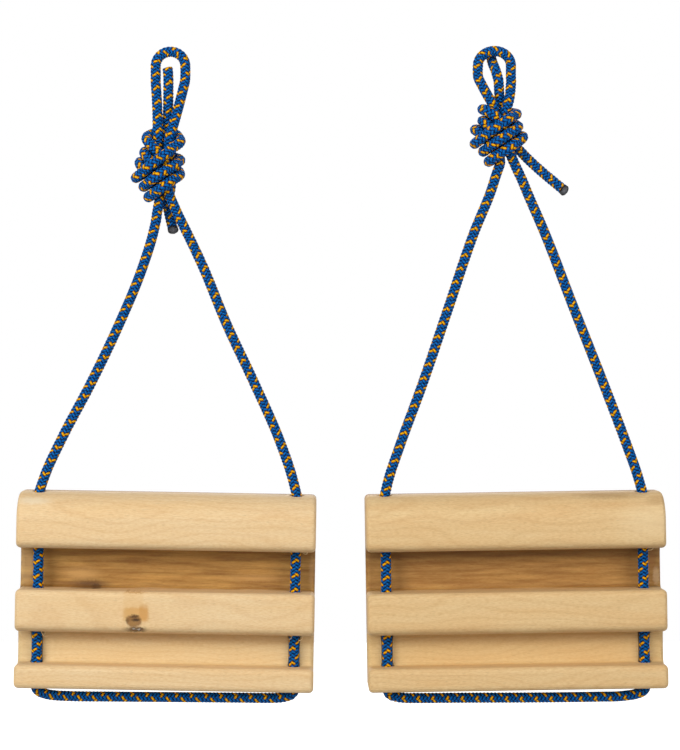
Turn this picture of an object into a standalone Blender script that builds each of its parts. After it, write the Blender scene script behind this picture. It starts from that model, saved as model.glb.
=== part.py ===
"""Pair of hanging finger boards for climbing training.

Each unit is one grooved hardwood board, threaded on one length of accessory cord. The cord runs down
through a hole at each end of the board and across below it. Above the board both legs meet in an
overhand knot that is tied with three parallel strands, and a hanging loop stands above the knot.

Metres, +Z up, and the climber faces the -Y side. The origin is the inner top of the left unit's
hanging loop, where a hook bears, and the cords hang in the plane Y = 0.
"""
import math

import bmesh
import bpy
import numpy as np
from mathutils import Vector

# Board: heights are stacked from the top face down, and depths run back from the front face
BOARD_WIDTH = 0.200
BOARD_DEPTH = 0.038
TOP_RAIL = 0.0373
UPPER_GROOVE = 0.0278
MIDDLE_RAIL = 0.0279
LOWER_GROOVE = 0.0222
BOTTOM_RAIL = 0.0159
UPPER_GROOVE_DEPTH = 0.027
LOWER_GROOVE_DEPTH = 0.020
TOP_FRONT_ROUND = 0.019
RAIL_ROUND = 0.004
GROOVE_TOP_FILLET = 0.006
GROOVE_FLOOR_FILLET = 0.003
BACK_ROUND = 0.004
END_ROUND = 0.003

# Cord, and the holes that it passes through
CORD = 0.007
HOLE_CLEARANCE = 0.00085
HOLE_INSET = 0.0133
HOLE_SETBACK = 0.018
MOUTH_FLARE = 0.001
SEAM_GAP = 0.0003
STRAND_GAP = 0.0005

# Hanging: the loop bends under the hook at its swing axis, and the board top hangs below the hook
SWING_DROP = 0.010
UNIT_SPACING = 0.2174
BOARD_DROP = 0.294

# Each unit's own measures. Routes above the board are counted in cord diameters: to the right, up,
# and towards the climber. The loop and the upper tail start from the hook, and the rest from the
# knot's middle. A band point also has the step to the next strand, right and up, and the steps that
# the left strand lies off where that is not one. A leg bows sideways from the straight line between
# its start and its hole, in metres at each part of the way, and the run hangs below the board in
# metres at each part of its width. A roll is in degrees.
UNITS = {
    "left_unit": {
        "hook": (0.0, 0.0),
        "board_shift": -0.0019,
        "board_lift": 0.0,
        "roll": 1.0,
        "loop_sides": (-1.47, 1.38),
        "loop_left": [(-1.47, -2.64), (-1.33, -3.66), (-1.20, -4.63), (-1.11, -5.64)],
        "loop_right": [(1.30, -2.64), (1.10, -3.66), (0.82, -4.63), (0.54, -5.64)],
        "tail_tip": [],
        "upper_tail": [
            (-0.34, -1.03, 0.0), (-0.29, -1.43, 0.0), (-0.24, -2.86, 0.0),
            (-0.23, -4.29, -0.36), (-0.26, -5.64, -0.69),
        ],
        "knot": (-1.11, -10.31),
        "cuts": (4.0, -5.0, -4.2),
        "enter_left": [(0.0, 3.3, 0.0), (-0.10, 2.1, -0.1)],
        "enter_middle": [(0.75, 3.3, -0.7), (0.45, 2.1, -0.95)],
        "enter_right": [(1.35, 3.3, 0.4), (1.00, 2.1, 0.2)],
        "band": [
            (0.15, 0.60, -0.50, 0.95, 0.00),
            (-0.15, -0.80, -0.75, 0.90, -0.15),
            (-0.65, -2.00, -0.90, 0.75, -0.70),
            (-1.35, -2.65, -0.55, 0.60, -0.88),
            (-1.75, -2.58, 0.50, 0.45, -0.96),
            (-1.20, -2.20, 1.50, 0.56, -0.95),
            (-0.20, -1.45, 1.90, 0.45, -0.95, 0.95),
            (0.80, -0.70, 1.80, 0.25, -1.00, 1.10),
            (1.60, 0.20, 0.70, 0.00, -1.08, 2.15),
            (1.35, 0.75, -0.90, 0.00, -1.10, 2.35),
            (0.25, 1.10, -1.80, 0.00, -1.10, 2.30),
            (-0.90, 1.30, -1.50, 0.00, -1.10, 2.15),
            (-1.35, 1.20, -0.30, -0.05, -1.10, 2.00),
            (-1.00, 0.75, 0.70, -0.45, -1.00, 1.45),
            (-0.40, -0.50, 0.90, -0.88, -0.60),
            (0.05, -1.80, 0.75, -1.02, -0.30),
        ],
        "lower_tail": [(0.65, -3.5, -0.75), (0.85, -4.6, -0.95), (1.26, -6.3, -0.9)],
        "leave_left": [(-0.25, -3.5, 0.2), (-0.25, -4.9, 0.1), (-0.53, -6.34, 0.0)],
        "leave_right": [(0.90, -3.1, 0.75), (1.80, -4.9, 0.35), (2.51, -6.34, 0.0)],
        "left_leg": [(0.13, 0.0030), (0.36, 0.0040), (0.58, 0.0026), (0.80, -0.0004), (0.93, -0.0010)],
        "right_leg": [(0.13, -0.0016), (0.36, -0.0013), (0.58, 0.0008), (0.80, 0.0022), (0.93, 0.0014)],
        "run": [(0.0, 0.0068), (0.12, 0.0068), (0.3, 0.0067), (0.55, 0.0063), (0.82, 0.0059), (0.9, 0.0058),
                (1.0, 0.0058)],
    },
    "right_unit": {
        "hook": (UNIT_SPACING, 0.0005),
        "board_shift": 0.0134,
        "board_lift": -0.0005,
        "roll": -0.9,
        "loop_sides": (-1.50, 1.67),
        "loop_left": [(-1.19, -2.67), (-0.84, -3.44), (-0.53, -4.21)],
        "loop_right": [(1.70, -2.67), (1.69, -3.44), (1.61, -4.21)],
        "tail_tip": [(-0.74, -0.07, -1.11), (-0.39, -0.46, -0.89), (0.06, -0.94, -0.40)],
        "upper_tail": [(0.31, -1.43, 0.0), (0.53, -2.29, 0.0), (0.69, -3.29, 0.0), (0.74, -4.21, 0.0)],
        "knot": (0.43, -7.49),
        "cuts": (3.5, -4.6, -2.6),
        "enter_left": [(-0.70, 2.5, 0.0), (-0.45, 1.9, -0.1)],
        "enter_middle": [(0.35, 2.5, -0.2), (0.35, 1.9, -0.3)],
        "enter_right": [(1.25, 2.5, 0.0), (1.20, 1.9, -0.1)],
        "band": [
            (-0.10, 0.50, -0.50, 1.06, -0.10),
            (-0.50, -0.80, -0.80, 0.95, -0.42),
            (-1.20, -1.60, -0.75, 0.66, -0.82),
            (-1.75, -1.75, 0.20, 0.45, -0.96),
            (-1.20, -1.45, 1.40, 0.56, -0.90),
            (-0.15, -0.80, 1.90, 0.56, -0.90),
            (1.00, 0.15, 1.70, 0.34, -0.97),
            (1.65, 0.75, 0.40, -0.10, -1.06),
            (1.20, 1.00, -1.30, -0.05, -1.06),
            (0.00, 1.15, -1.80, 0.00, -1.06),
            (-1.15, 1.25, -1.30, 0.00, -1.06),
            (-1.60, 1.30, -0.10, 0.00, -1.06),
            (-1.05, 0.90, 0.80, -0.53, -0.90),
            (-0.25, -0.10, 0.90, -0.91, -0.53),
            (0.20, -1.10, 0.60, -1.02, -0.25),
        ],
        "lower_tail": [(1.75, -1.25, 0.0), (2.55, -2.05, -0.2), (3.90, -3.30, -0.3), (6.40, -5.45, 0.0)],
        "leave_left": [(0.15, -2.5, 0.2), (-0.30, -4.3, 0.1), (-0.54, -5.10, 0.0)],
        "leave_right": [(1.30, -2.4, 0.2), (2.25, -4.3, 0.1), (2.59, -5.10, 0.0)],
        "left_leg": [(0.15, 0.0), (0.40, 0.0006), (0.65, 0.0002), (0.85, -0.0006), (0.95, -0.0008)],
        "right_leg": [(0.15, 0.0), (0.40, -0.0004), (0.65, 0.0), (0.85, 0.0008), (0.95, 0.0008)],
        "run": [(0.0, 0.0060), (0.12, 0.0060), (0.25, 0.0062), (0.6, 0.0069), (0.82, 0.0070), (0.9, 0.0069),
                (1.0, 0.0068)],
    },
}

# Where the run turns up into a hole: parts of its drop, inwards from the hole and down from the board
RUN_CORNER = [(0.0, 0.25), (0.25, 0.55), (0.95, 0.82), (1.9, 0.96)]

# How a knot is pulled tight: rounds, the last part of them that only settles, and what moves a point
RELAX_ROUNDS = 320
SETTLING = 0.1
PUSH = 0.45
STIFFNESS = 0.35
SETTLED_STIFFNESS = 0.05
HOLD = 0.004
RESPACING = 20
WANTED_GAP = 1.6 * STRAND_GAP

# Lengths along a cord, in cord diameters: its own neighbours that don't push, the free stretch below
# the hook, the stretch below the knot that still gives way, and the straight lead at a seam
OWN_REACH = 2.2
FREE_TOP = 1.2
GIVING_LEG = 2.5
SEAM_LEAD = 0.5

# Fineness of the model, in cord diameters, degrees and counts
KNOT_STEP = 0.33
FREE_STEP = 2.2
BEND_STEP = 0.55
FINE_STEP = 0.03
TURN_STEP = 8
END_TURNS = (30, 60, 86)
CURVE_PARTS = 24
LOOP_PARTS = 60
ARC_PARTS = 4
BROAD_ARC_PARTS = 9
HOLE_SIDES = 24
KNOT_POINTS = 56
SHADE_ANGLE = 35

CORD_RADIUS = CORD / 2
HOLE_RADIUS = CORD_RADIUS + HOLE_CLEARANCE
HOLE_REACH = BOARD_WIDTH / 2 - HOLE_INSET
BOARD_HEIGHT = TOP_RAIL + UPPER_GROOVE + MIDDLE_RAIL + LOWER_GROOVE + BOTTOM_RAIL
FRONT_FACE = -HOLE_SETBACK
BACK_FACE = BOARD_DEPTH - HOLE_SETBACK

WOOD = ((0.78, 0.58, 0.33), 0.62)
BRAID = ((0.03, 0.10, 0.42), 0.80)


def even(path, step=None, count=None):
    """The same path with evenly spaced points."""
    lengths = np.linalg.norm(np.diff(path, axis=0), axis=1)
    run = np.concatenate([[0], np.cumsum(lengths)])
    if count is None:
        count = max(2, round(run[-1] / step) + 1)
    places = np.linspace(0, run[-1], count)
    return np.stack([np.interp(places, run, column) for column in path.T], axis=1)


def smooth(points, step):
    """A smooth curve through the points, whose bends follow the distances between them."""
    anchors = np.asarray(points, float)
    chords = np.linalg.norm(np.diff(anchors, axis=0), axis=1)[:, None]
    slopes = np.diff(anchors, axis=0) / chords
    middle = (slopes[:-1] * chords[1:] + slopes[1:] * chords[:-1]) / (chords[:-1] + chords[1:])
    tangents = np.vstack([slopes[:1], middle, slopes[-1:]])
    t = np.linspace(0, 1, CURVE_PARTS, endpoint=False)[:, None]
    pieces = []
    for i, chord in enumerate(chords):
        start = (2 * t ** 3 - 3 * t ** 2 + 1) * anchors[i] + (t ** 3 - 2 * t ** 2 + t) * chord * tangents[i]
        end = (3 * t ** 2 - 2 * t ** 3) * anchors[i + 1] + (t ** 3 - t ** 2) * chord * tangents[i + 1]
        pieces.append(start + end)
    return even(np.vstack(pieces + [anchors[-1:]]), step)


def placed(points, origin=(0.0, 0.0)):
    """Points given right, up and towards the climber in cord diameters, in metres from the hook."""
    out = []
    for right, up, *front in points:
        depth = -front[0] if front else 0.0
        out.append(((origin[0] + right) * CORD, depth * CORD, (origin[1] + up) * CORD))
    return out


def bowed(start, end, bows):
    """Points along the line from start to end, bowed sideways, to the right where positive."""
    start, end = Vector(start), Vector(end)
    along = (end - start).normalized()
    sideways = Vector((-along.z, 0.0, along.x))
    return [tuple(start.lerp(end, part) + sideways * bow) for part, bow in bows] + [tuple(end)]


def close_pairs(strands, step):
    """Distances between all points of the strands, with a strand's own neighbours set aside."""
    owner = np.repeat(np.arange(len(strands)), [len(strand) for strand in strands])
    place = np.concatenate([np.arange(len(strand)) for strand in strands])
    near = (owner[:, None] == owner) & (np.abs(place[:, None] - place) * step < OWN_REACH * CORD)
    points = np.vstack(strands)
    offsets = points[:, None] - points
    distances = np.linalg.norm(offsets, axis=2)
    distances[near] = np.inf
    return offsets, distances


def relax(strands, ranges, step):
    """Settles a knot: strands that are too close push apart, and each strand smooths itself."""
    least = CORD + WANTED_GAP
    home = np.vstack(strands)
    points = home.copy()
    starts = np.cumsum([0] + [len(strand) for strand in strands])
    spans = [(start + first, start + last) for start, (first, last) in zip(starts, ranges)]
    moving = np.concatenate([np.arange(first, last) for first, last in spans])
    for turn in range(RELAX_ROUNDS):
        settling = turn > (1 - SETTLING) * RELAX_ROUNDS
        parts = [points[a:b] for a, b in zip(starts, starts[1:])]
        offsets, distances = close_pairs(parts, step)
        overlap = np.clip(least - distances, 0, None)
        push = (offsets / distances[..., None] * overlap[..., None]).sum(axis=1)
        push *= PUSH / np.sqrt(np.maximum(1, (overlap > 0).sum(axis=1)))[:, None]
        bend = (points[moving - 1] + points[moving + 1]) / 2 - points[moving]
        move = push[moving] + bend * (SETTLED_STIFFNESS if settling else STIFFNESS)
        if not settling:
            move += HOLD * (home[moving] - points[moving])
        points[moving] += move
        if turn % RESPACING == RESPACING - 1:
            for first, last in spans:
                points[first:last] = even(points[first:last], count=last - first)
    return [points[a:b] for a, b in zip(starts, starts[1:])]


def least_gap(strands, step):
    return close_pairs(strands, step)[1].min() - CORD


def mouth(unit, side):
    """Middle of a hole's mouth in the board's top face, from the hook. It lies on the tilt axis."""
    roll = math.radians(unit["roll"])
    reach = side * HOLE_REACH
    height = unit["board_lift"] - BOARD_DROP
    return (unit["board_shift"] + reach * math.cos(roll), 0.0, height - reach * math.sin(roll))


def band_point(number, right, up, front, step_right, step_up, left_steps=1.0):
    """Where one of the three strands runs beside a point of the band's middle."""
    steps = -left_steps if number == -1 else number
    return (right + steps * step_right, up + steps * step_up, front)


def knot_strands(unit):
    """The three strands from the loop through the knot to the tail and the legs, left to right at
    the knot's top, each with the indexes where it enters and leaves the knot."""
    knot = unit["knot"]
    step = KNOT_STEP * CORD
    top, leg_cut, tail_cut = (CORD * (knot[1] + cut) for cut in unit["cuts"])
    left, right = unit["loop_sides"]
    axis = -SWING_DROP / CORD
    legs = []
    for side, name in ((-1, "left"), (1, "right")):
        leave = placed(unit["leave_" + name], knot)
        legs.append(leave + bowed(leave[-1], mouth(unit, side), unit[name + "_leg"]))
    starts = (
        placed([(left, axis), (left, axis - 0.5)] + unit["loop_left"]),
        placed(unit["upper_tail"]),
        placed([(right, axis), (right, axis - 0.5)] + unit["loop_right"]),
    )
    enters = (unit["enter_left"], unit["enter_middle"], unit["enter_right"])
    ends = (placed(unit["lower_tail"], knot), legs[1], legs[0])
    strands = []
    ranges = []
    for number, start, enter, end in zip((-1, 0, 1), starts, enters, ends):
        band = [band_point(number, *point) for point in unit["band"]]
        path = smooth(start + placed(enter + band, knot) + end, step)
        heights = path[:, 2]
        loose = np.flatnonzero(heights < -SWING_DROP - FREE_TOP * CORD)[0]
        cut = tail_cut if number == -1 else leg_cut
        strands.append(path)
        ranges.append((loose, np.flatnonzero(heights > cut)[-1]))
    reach = [last + round(GIVING_LEG / KNOT_STEP) for first, last in ranges]
    upper = [strand[:end] for strand, end in zip(strands, reach)]
    relaxed = relax(upper, ranges, step)
    whole = [np.vstack([loose, strand[end:]]) for loose, strand, end in zip(relaxed, strands, reach)]
    print(f"Least gap between strands: {1000 * least_gap(whole, step):.2f} mm")
    entries = [int(np.flatnonzero(strand[:, 2] < top)[0]) for strand in whole]
    return [(strand, entry, last) for strand, entry, (first, last) in zip(whole, entries, ranges)]


def tube(name, parent, path, round_start=False, round_end=False):
    """A length of cord on the path. A rounded end is half a ball about the path's end point."""
    points = [Vector(point) - parent["from_hook"] for point in path.tolist()]
    radii = [1.0] * len(points)
    turns = [math.radians(angle) for angle in END_TURNS]
    if round_end:
        along = (points[-1] - points[-2]).normalized()
        points += [points[-1] + along * CORD_RADIUS * math.sin(turn) for turn in turns]
        radii += [math.cos(turn) for turn in turns]
    if round_start:
        along = (points[0] - points[1]).normalized()
        points[:0] = [points[0] + along * CORD_RADIUS * math.sin(turn) for turn in reversed(turns)]
        radii[:0] = [math.cos(turn) for turn in reversed(turns)]
    curve = bpy.data.curves.new(name, "CURVE")
    curve.dimensions = "3D"
    curve.bevel_depth = CORD_RADIUS
    curve.bevel_resolution = 2
    curve.use_fill_caps = True
    spline = curve.splines.new("POLY")
    spline.points.add(len(points) - 1)
    for place, point, radius in zip(spline.points, points, radii):
        place.co = (*point, 1.0)
        place.radius = radius
    spline.use_smooth = True
    return add(name, curve, parent["empty"], BRAID)


def material(name, colour, roughness):
    made = bpy.data.materials.new(name)
    made.use_nodes = True
    shader = made.node_tree.nodes["Principled BSDF"]
    shader.inputs["Base Color"].default_value = (*colour, 1.0)
    shader.inputs["Roughness"].default_value = roughness
    shader.inputs["Metallic"].default_value = 0.0
    made.diffuse_color = (*colour, 1.0)
    return made


def add(name, data, parent, finish=None):
    obj = bpy.data.objects.new(name, data)
    bpy.context.scene.collection.objects.link(obj)
    obj.parent = parent
    if finish:
        data.materials.append(material(name, *finish))
    return obj


def empty(name, parent, location, roll=0.0):
    obj = add(name, None, parent)
    obj.location = location
    obj.rotation_euler = (0.0, math.radians(roll), 0.0)
    return obj


def outline(inset):
    """Section through the board, front to the left, all its edges set in by the inset."""
    upper_top = -TOP_RAIL
    upper_floor = upper_top - UPPER_GROOVE
    lower_top = upper_floor - MIDDLE_RAIL
    lower_floor = lower_top - LOWER_GROOVE
    broad = min(TOP_FRONT_ROUND, TOP_RAIL - 1.5 * RAIL_ROUND, BOARD_DEPTH - 1.5 * BACK_ROUND)
    corners = [(BACK_FACE, 0.0, BACK_ROUND), (FRONT_FACE, 0.0, broad)]
    for top, floor, depth in (
        (upper_top, upper_floor, UPPER_GROOVE_DEPTH),
        (lower_top, lower_floor, LOWER_GROOVE_DEPTH),
    ):
        corners += [
            (FRONT_FACE, top, RAIL_ROUND),
            (FRONT_FACE + depth, top, GROOVE_TOP_FILLET),
            (FRONT_FACE + depth, floor, GROOVE_FLOOR_FILLET),
            (FRONT_FACE, floor, RAIL_ROUND),
        ]
    corners += [(FRONT_FACE, -BOARD_HEIGHT, RAIL_ROUND), (BACK_FACE, -BOARD_HEIGHT, BACK_ROUND)]
    points = []
    for number, (y, z, radius) in enumerate(corners):
        corner = Vector((y, z))
        before = (corner - Vector(corners[number - 1][:2])).normalized()
        after = (Vector(corners[(number + 1) % len(corners)][:2]) - corner).normalized()
        corner += inset * Vector((-before.y - after.y, before.x + after.x))
        convex = before.cross(after) > 0
        size = max(radius - inset, 0.1 * radius) if convex else radius + inset
        parts = BROAD_ARC_PARTS if radius == broad else ARC_PARTS
        for part in range(parts + 1):
            turn = math.radians(90) * part / parts
            bend = after * (1 - math.cos(turn)) - before * (1 - math.sin(turn))
            points.append(corner + size * bend)
    return points


def loft(rings):
    """A closed body through rings of as many points each."""
    body = bmesh.new()
    loops = [[body.verts.new(point) for point in ring] for ring in rings]
    for one, other in zip(loops, loops[1:]):
        for i in range(len(one)):
            j = (i + 1) % len(one)
            body.faces.new((one[i], one[j], other[j], other[i]))
    body.faces.new(loops[0][::-1])
    body.faces.new(loops[-1])
    bmesh.ops.recalc_face_normals(body, faces=body.faces)
    return body


def board_mesh():
    """The board without its holes, from the middle between the hole mouths. Its ends are rounded."""
    turns = [math.radians(90) * part / ARC_PARTS for part in range(ARC_PARTS + 1)]
    reach = [(BOARD_WIDTH / 2 - END_ROUND * (1 - math.sin(turn)), END_ROUND * (1 - math.cos(turn)))
             for turn in turns]
    stations = [(-x, inset) for x, inset in reversed(reach)] + reach
    body = loft([[(x, y, z) for y, z in outline(inset)] for x, inset in stations])
    mesh = bpy.data.meshes.new("board")
    body.to_mesh(mesh)
    body.free()
    return mesh


def hole_mesh():
    """Both cord holes as one cutter, with a flare at each mouth."""
    wide = HOLE_RADIUS + 2 * MOUTH_FLARE
    profile = [(MOUTH_FLARE, wide), (-MOUTH_FLARE, HOLE_RADIUS)]
    profile += [(-BOARD_HEIGHT + MOUTH_FLARE, HOLE_RADIUS), (-BOARD_HEIGHT - MOUTH_FLARE, wide)]
    mesh = bpy.data.meshes.new("cord_holes")
    both = bmesh.new()
    for side in (-1, 1):
        rings = []
        for z, radius in profile:
            turns = [2 * math.pi * (i + 0.5) / HOLE_SIDES for i in range(HOLE_SIDES)]
            rings.append([(side * HOLE_REACH + radius * math.cos(turn), radius * math.sin(turn), z)
                          for turn in turns])
        one = loft(rings)
        one.to_mesh(mesh)
        one.free()
        both.from_mesh(mesh)
    both.to_mesh(mesh)
    both.free()
    return mesh


def add_board(name, unit, tilt):
    board = add(name + "_board", board_mesh(), tilt, WOOD)
    cutter = add(name + "_hole_cutter", hole_mesh(), tilt)
    cutter.hide_render = True
    cutter.display_type = "WIRE"
    cut = board.modifiers.new("cord_holes", "BOOLEAN")
    cut.operation = "DIFFERENCE"
    cut.solver = "EXACT"
    cut.object = cutter
    board.data.shade_smooth()
    board.data.set_sharp_from_angle(angle=math.radians(SHADE_ANGLE))


def board_cord_path(unit):
    """Down the left hole, across below the board and up the right hole, in the board's own frame."""
    run = unit["run"]
    sides = []
    for side, drop in ((-1, run[0][1]), (1, run[-1][1])):
        x = side * HOLE_REACH
        heights = (-CORD_RADIUS - SEAM_GAP, -2 * CORD, CORD - BOARD_HEIGHT, -BOARD_HEIGHT)
        down = [(x, 0.0, z) for z in heights]
        corner = [(x - side * part * drop, 0.0, -BOARD_HEIGHT - fall * drop) for part, fall in RUN_CORNER]
        sides.append(down + corner)
    across = [((2 * part - 1) * HOLE_REACH, 0.0, -BOARD_HEIGHT - drop) for part, drop in run[1:-1]]
    return thinned(smooth(sides[0] + across + sides[1][::-1], KNOT_STEP * CORD))


def add_loop_top(name, unit, hook):
    """The loop's bend over the hook, which ends square just above the swing axis."""
    left, right = (side * CORD for side in unit["loop_sides"])
    foot = -SWING_DROP + CORD_RADIUS + SEAM_GAP
    rise = CORD_RADIUS - foot
    turns = np.linspace(math.pi, 0, LOOP_PARTS)
    middle, half = (left + right) / 2, (right - left) / 2
    arch = np.stack([middle + half * np.cos(turns), 0 * turns, foot + rise * np.sin(turns)], axis=1)
    tube(name + "_loop_top", hook, even(arch, BEND_STEP * CORD))


def thinned(path):
    """The path with a point at each turn of a few degrees, and at least at the free step."""
    kept = [0]
    for i in range(1, len(path) - 1):
        start = path[kept[-1] + 1] - path[kept[-1]]
        here = path[i + 1] - path[i]
        turned = Vector(start).angle(Vector(here), 0.0)
        if turned > math.radians(TURN_STEP) or np.linalg.norm(path[i] - path[kept[-1]]) > FREE_STEP * CORD:
            kept.append(i)
    return path[kept + [len(path) - 1]]


def stretch(strand, first, last):
    """Part of a strand. At a cut it runs straight for a short lead, and stops half a seam short."""
    lead = math.ceil(SEAM_LEAD / KNOT_STEP)
    start, end = [], []
    if first > 0:
        along = strand[first + 1] - strand[first - 1]
        along /= np.linalg.norm(along)
        start = [strand[first] + along * SEAM_GAP / 2, strand[first] + along * SEAM_LEAD * CORD]
        first += lead
    if last < len(strand) - 1:
        along = strand[last - 1] - strand[last + 1]
        along /= np.linalg.norm(along)
        end = [strand[last] + along * SEAM_LEAD * CORD, strand[last] + along * SEAM_GAP / 2]
        last -= lead
    return start, strand[first:last + 1], end


def add_hanging_cord(name, unit, hook, swing):
    """The knotted part of the cord, from the hook to the hole mouths."""
    add_loop_top(name, unit, hook)
    if unit["tail_tip"]:
        tip = smooth(placed(unit["tail_tip"] + unit["upper_tail"][:1]), FINE_STEP * CORD)
        ball = np.linalg.norm(tip - tip[-1], axis=1)
        tube(name + "_tail_tip", hook, even(tip[ball >= CORD_RADIUS + SEAM_GAP], BEND_STEP * CORD))
    strands = knot_strands(unit)
    uppers = ("loop_left_strand", "upper_tail", "loop_right_strand")
    middles = ("knot_left_strand", "knot_middle_strand", "knot_right_strand")
    lowers = ("lower_tail", "right_leg", "left_leg")
    for upper, middle, lower, (strand, entry, leave) in zip(uppers, middles, lowers, strands):
        hinged = upper != "upper_tail" or bool(unit["tail_tip"])
        start, part, end = stretch(strand, 0, entry)
        tube(f"{name}_{upper}", swing, np.vstack([thinned(part), end]), round_start=hinged)
        start, part, end = stretch(strand, entry, leave)
        tube(f"{name}_{middle}", swing, np.vstack([start, even(part, count=KNOT_POINTS), end]))
        start, part, end = stretch(strand, leave, len(strand) - 1)
        tube(f"{name}_{lower}", swing, np.vstack([start, thinned(part)]), round_end=lower != "lower_tail")


def add_unit(name, unit):
    hook = empty(name + "_hook", None, (unit["hook"][0], 0.0, unit["hook"][1]))
    swing = empty(name + "_swing", hook, (0.0, 0.0, -SWING_DROP))
    height = SWING_DROP + unit["board_lift"] - BOARD_DROP
    tilt = empty(name + "_tilt", swing, (unit["board_shift"], 0.0, height), unit["roll"])
    at_hook = {"empty": hook, "from_hook": Vector((0.0, 0.0, 0.0))}
    at_swing = {"empty": swing, "from_hook": Vector((0.0, 0.0, -SWING_DROP))}
    in_board = {"empty": tilt, "from_hook": Vector((0.0, 0.0, 0.0))}
    add_hanging_cord(name, unit, at_hook, at_swing)
    add_board(name, unit, tilt)
    tube(name + "_board_cord", in_board, board_cord_path(unit))


def main():
    for obj in list(bpy.data.objects):
        bpy.data.objects.remove(obj)
    for name, unit in UNITS.items():
        add_unit(name, unit)
    bpy.context.view_layer.update()


main()
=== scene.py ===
# %% [markdown]
# # A pair of hanging finger boards
# Two grooved hardwood boards for training the fingers hang side by side. Each is threaded on one length
# of braided accessory cord, which is tied above it in an overhand knot of three strands. The cells below
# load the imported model, which fixes every size and joint, and then make the cords and the wood around it.

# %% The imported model
import math

import bmesh
import bpy
import numpy as np
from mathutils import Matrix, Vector


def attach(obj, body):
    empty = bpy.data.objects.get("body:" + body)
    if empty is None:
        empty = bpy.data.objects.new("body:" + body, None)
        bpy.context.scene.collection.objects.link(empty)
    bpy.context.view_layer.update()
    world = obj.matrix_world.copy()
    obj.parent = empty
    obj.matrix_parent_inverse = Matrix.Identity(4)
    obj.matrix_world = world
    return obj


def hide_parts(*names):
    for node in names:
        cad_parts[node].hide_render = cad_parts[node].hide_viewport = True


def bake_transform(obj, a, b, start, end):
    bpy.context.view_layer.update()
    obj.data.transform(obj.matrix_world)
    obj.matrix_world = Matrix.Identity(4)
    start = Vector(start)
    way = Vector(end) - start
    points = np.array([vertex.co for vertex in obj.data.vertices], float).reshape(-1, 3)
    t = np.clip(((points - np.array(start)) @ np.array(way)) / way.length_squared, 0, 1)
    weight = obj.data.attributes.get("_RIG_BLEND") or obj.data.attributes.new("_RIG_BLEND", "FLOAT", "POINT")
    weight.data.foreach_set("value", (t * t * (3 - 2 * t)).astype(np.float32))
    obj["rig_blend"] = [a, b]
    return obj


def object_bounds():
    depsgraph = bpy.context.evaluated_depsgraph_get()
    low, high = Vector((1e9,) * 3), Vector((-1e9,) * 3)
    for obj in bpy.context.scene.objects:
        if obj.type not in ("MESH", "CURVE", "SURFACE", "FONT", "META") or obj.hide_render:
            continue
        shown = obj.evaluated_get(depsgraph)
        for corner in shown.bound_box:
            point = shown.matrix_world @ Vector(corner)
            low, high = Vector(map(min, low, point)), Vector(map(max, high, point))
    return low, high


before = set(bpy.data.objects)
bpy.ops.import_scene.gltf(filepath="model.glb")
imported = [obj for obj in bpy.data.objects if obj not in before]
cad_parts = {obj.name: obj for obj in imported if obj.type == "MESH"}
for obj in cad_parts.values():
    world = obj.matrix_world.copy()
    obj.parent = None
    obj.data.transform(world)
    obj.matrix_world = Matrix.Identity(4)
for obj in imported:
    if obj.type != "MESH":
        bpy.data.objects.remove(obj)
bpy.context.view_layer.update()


def add_object(name, data):
    """A new object in the scene."""
    made = bpy.data.objects.new(name, data)
    bpy.context.scene.collection.objects.link(made)
    return made


# %% [markdown]
# ## The camera
# The photograph looks straight at the boards from about 1.44 m in front of the cords, at the height of the
# knots' feet. Its optical axis passes a little left of the middle, so a small sideways shift frames the pair.

# %% Camera
CAMERA_PLACE = (0.0903, -1.438, -0.2144)
FOCAL_LENGTH = 102.4
SENSOR = 36.0
FRAMING_SHIFT = 0.0467

camera_data = bpy.data.cameras.new("camera")
camera_data.lens = FOCAL_LENGTH
camera_data.sensor_width = SENSOR
camera_data.shift_x = FRAMING_SHIFT
camera = add_object("camera", camera_data)
camera.location = CAMERA_PLACE
camera.rotation_euler = (math.radians(90), 0.0, 0.0)
bpy.context.scene.camera = camera

# %% [markdown]
# ## The cords' routes
# A knot can't be drawn freely, because three strands have to pass over and under each other without
# touching. So each strand first follows a band of points that ties the knot, and then the strands push
# each other apart and straighten, as when a real knot is pulled tight. Most places are counted in cord
# diameters, which keeps the numbers small: to the right, up, and towards the climber.

# %% Sizes of the cord and the boards, in metres
CORD = 0.007
BOARD_WIDTH = 0.200
TOP_RAIL = 0.0373
UPPER_GROOVE = 0.0278
MIDDLE_RAIL = 0.0279
LOWER_GROOVE = 0.0222
BOTTOM_RAIL = 0.0159
HOLE_INSET = 0.0133
HOLE_SETBACK = 0.018
SWING_DROP = 0.010
UNIT_SPACING = 0.2174
BOARD_DROP = 0.294
BOARD_HEIGHT = TOP_RAIL + UPPER_GROOVE + MIDDLE_RAIL + LOWER_GROOVE + BOTTOM_RAIL
HOLE_REACH = BOARD_WIDTH / 2 - HOLE_INSET

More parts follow.
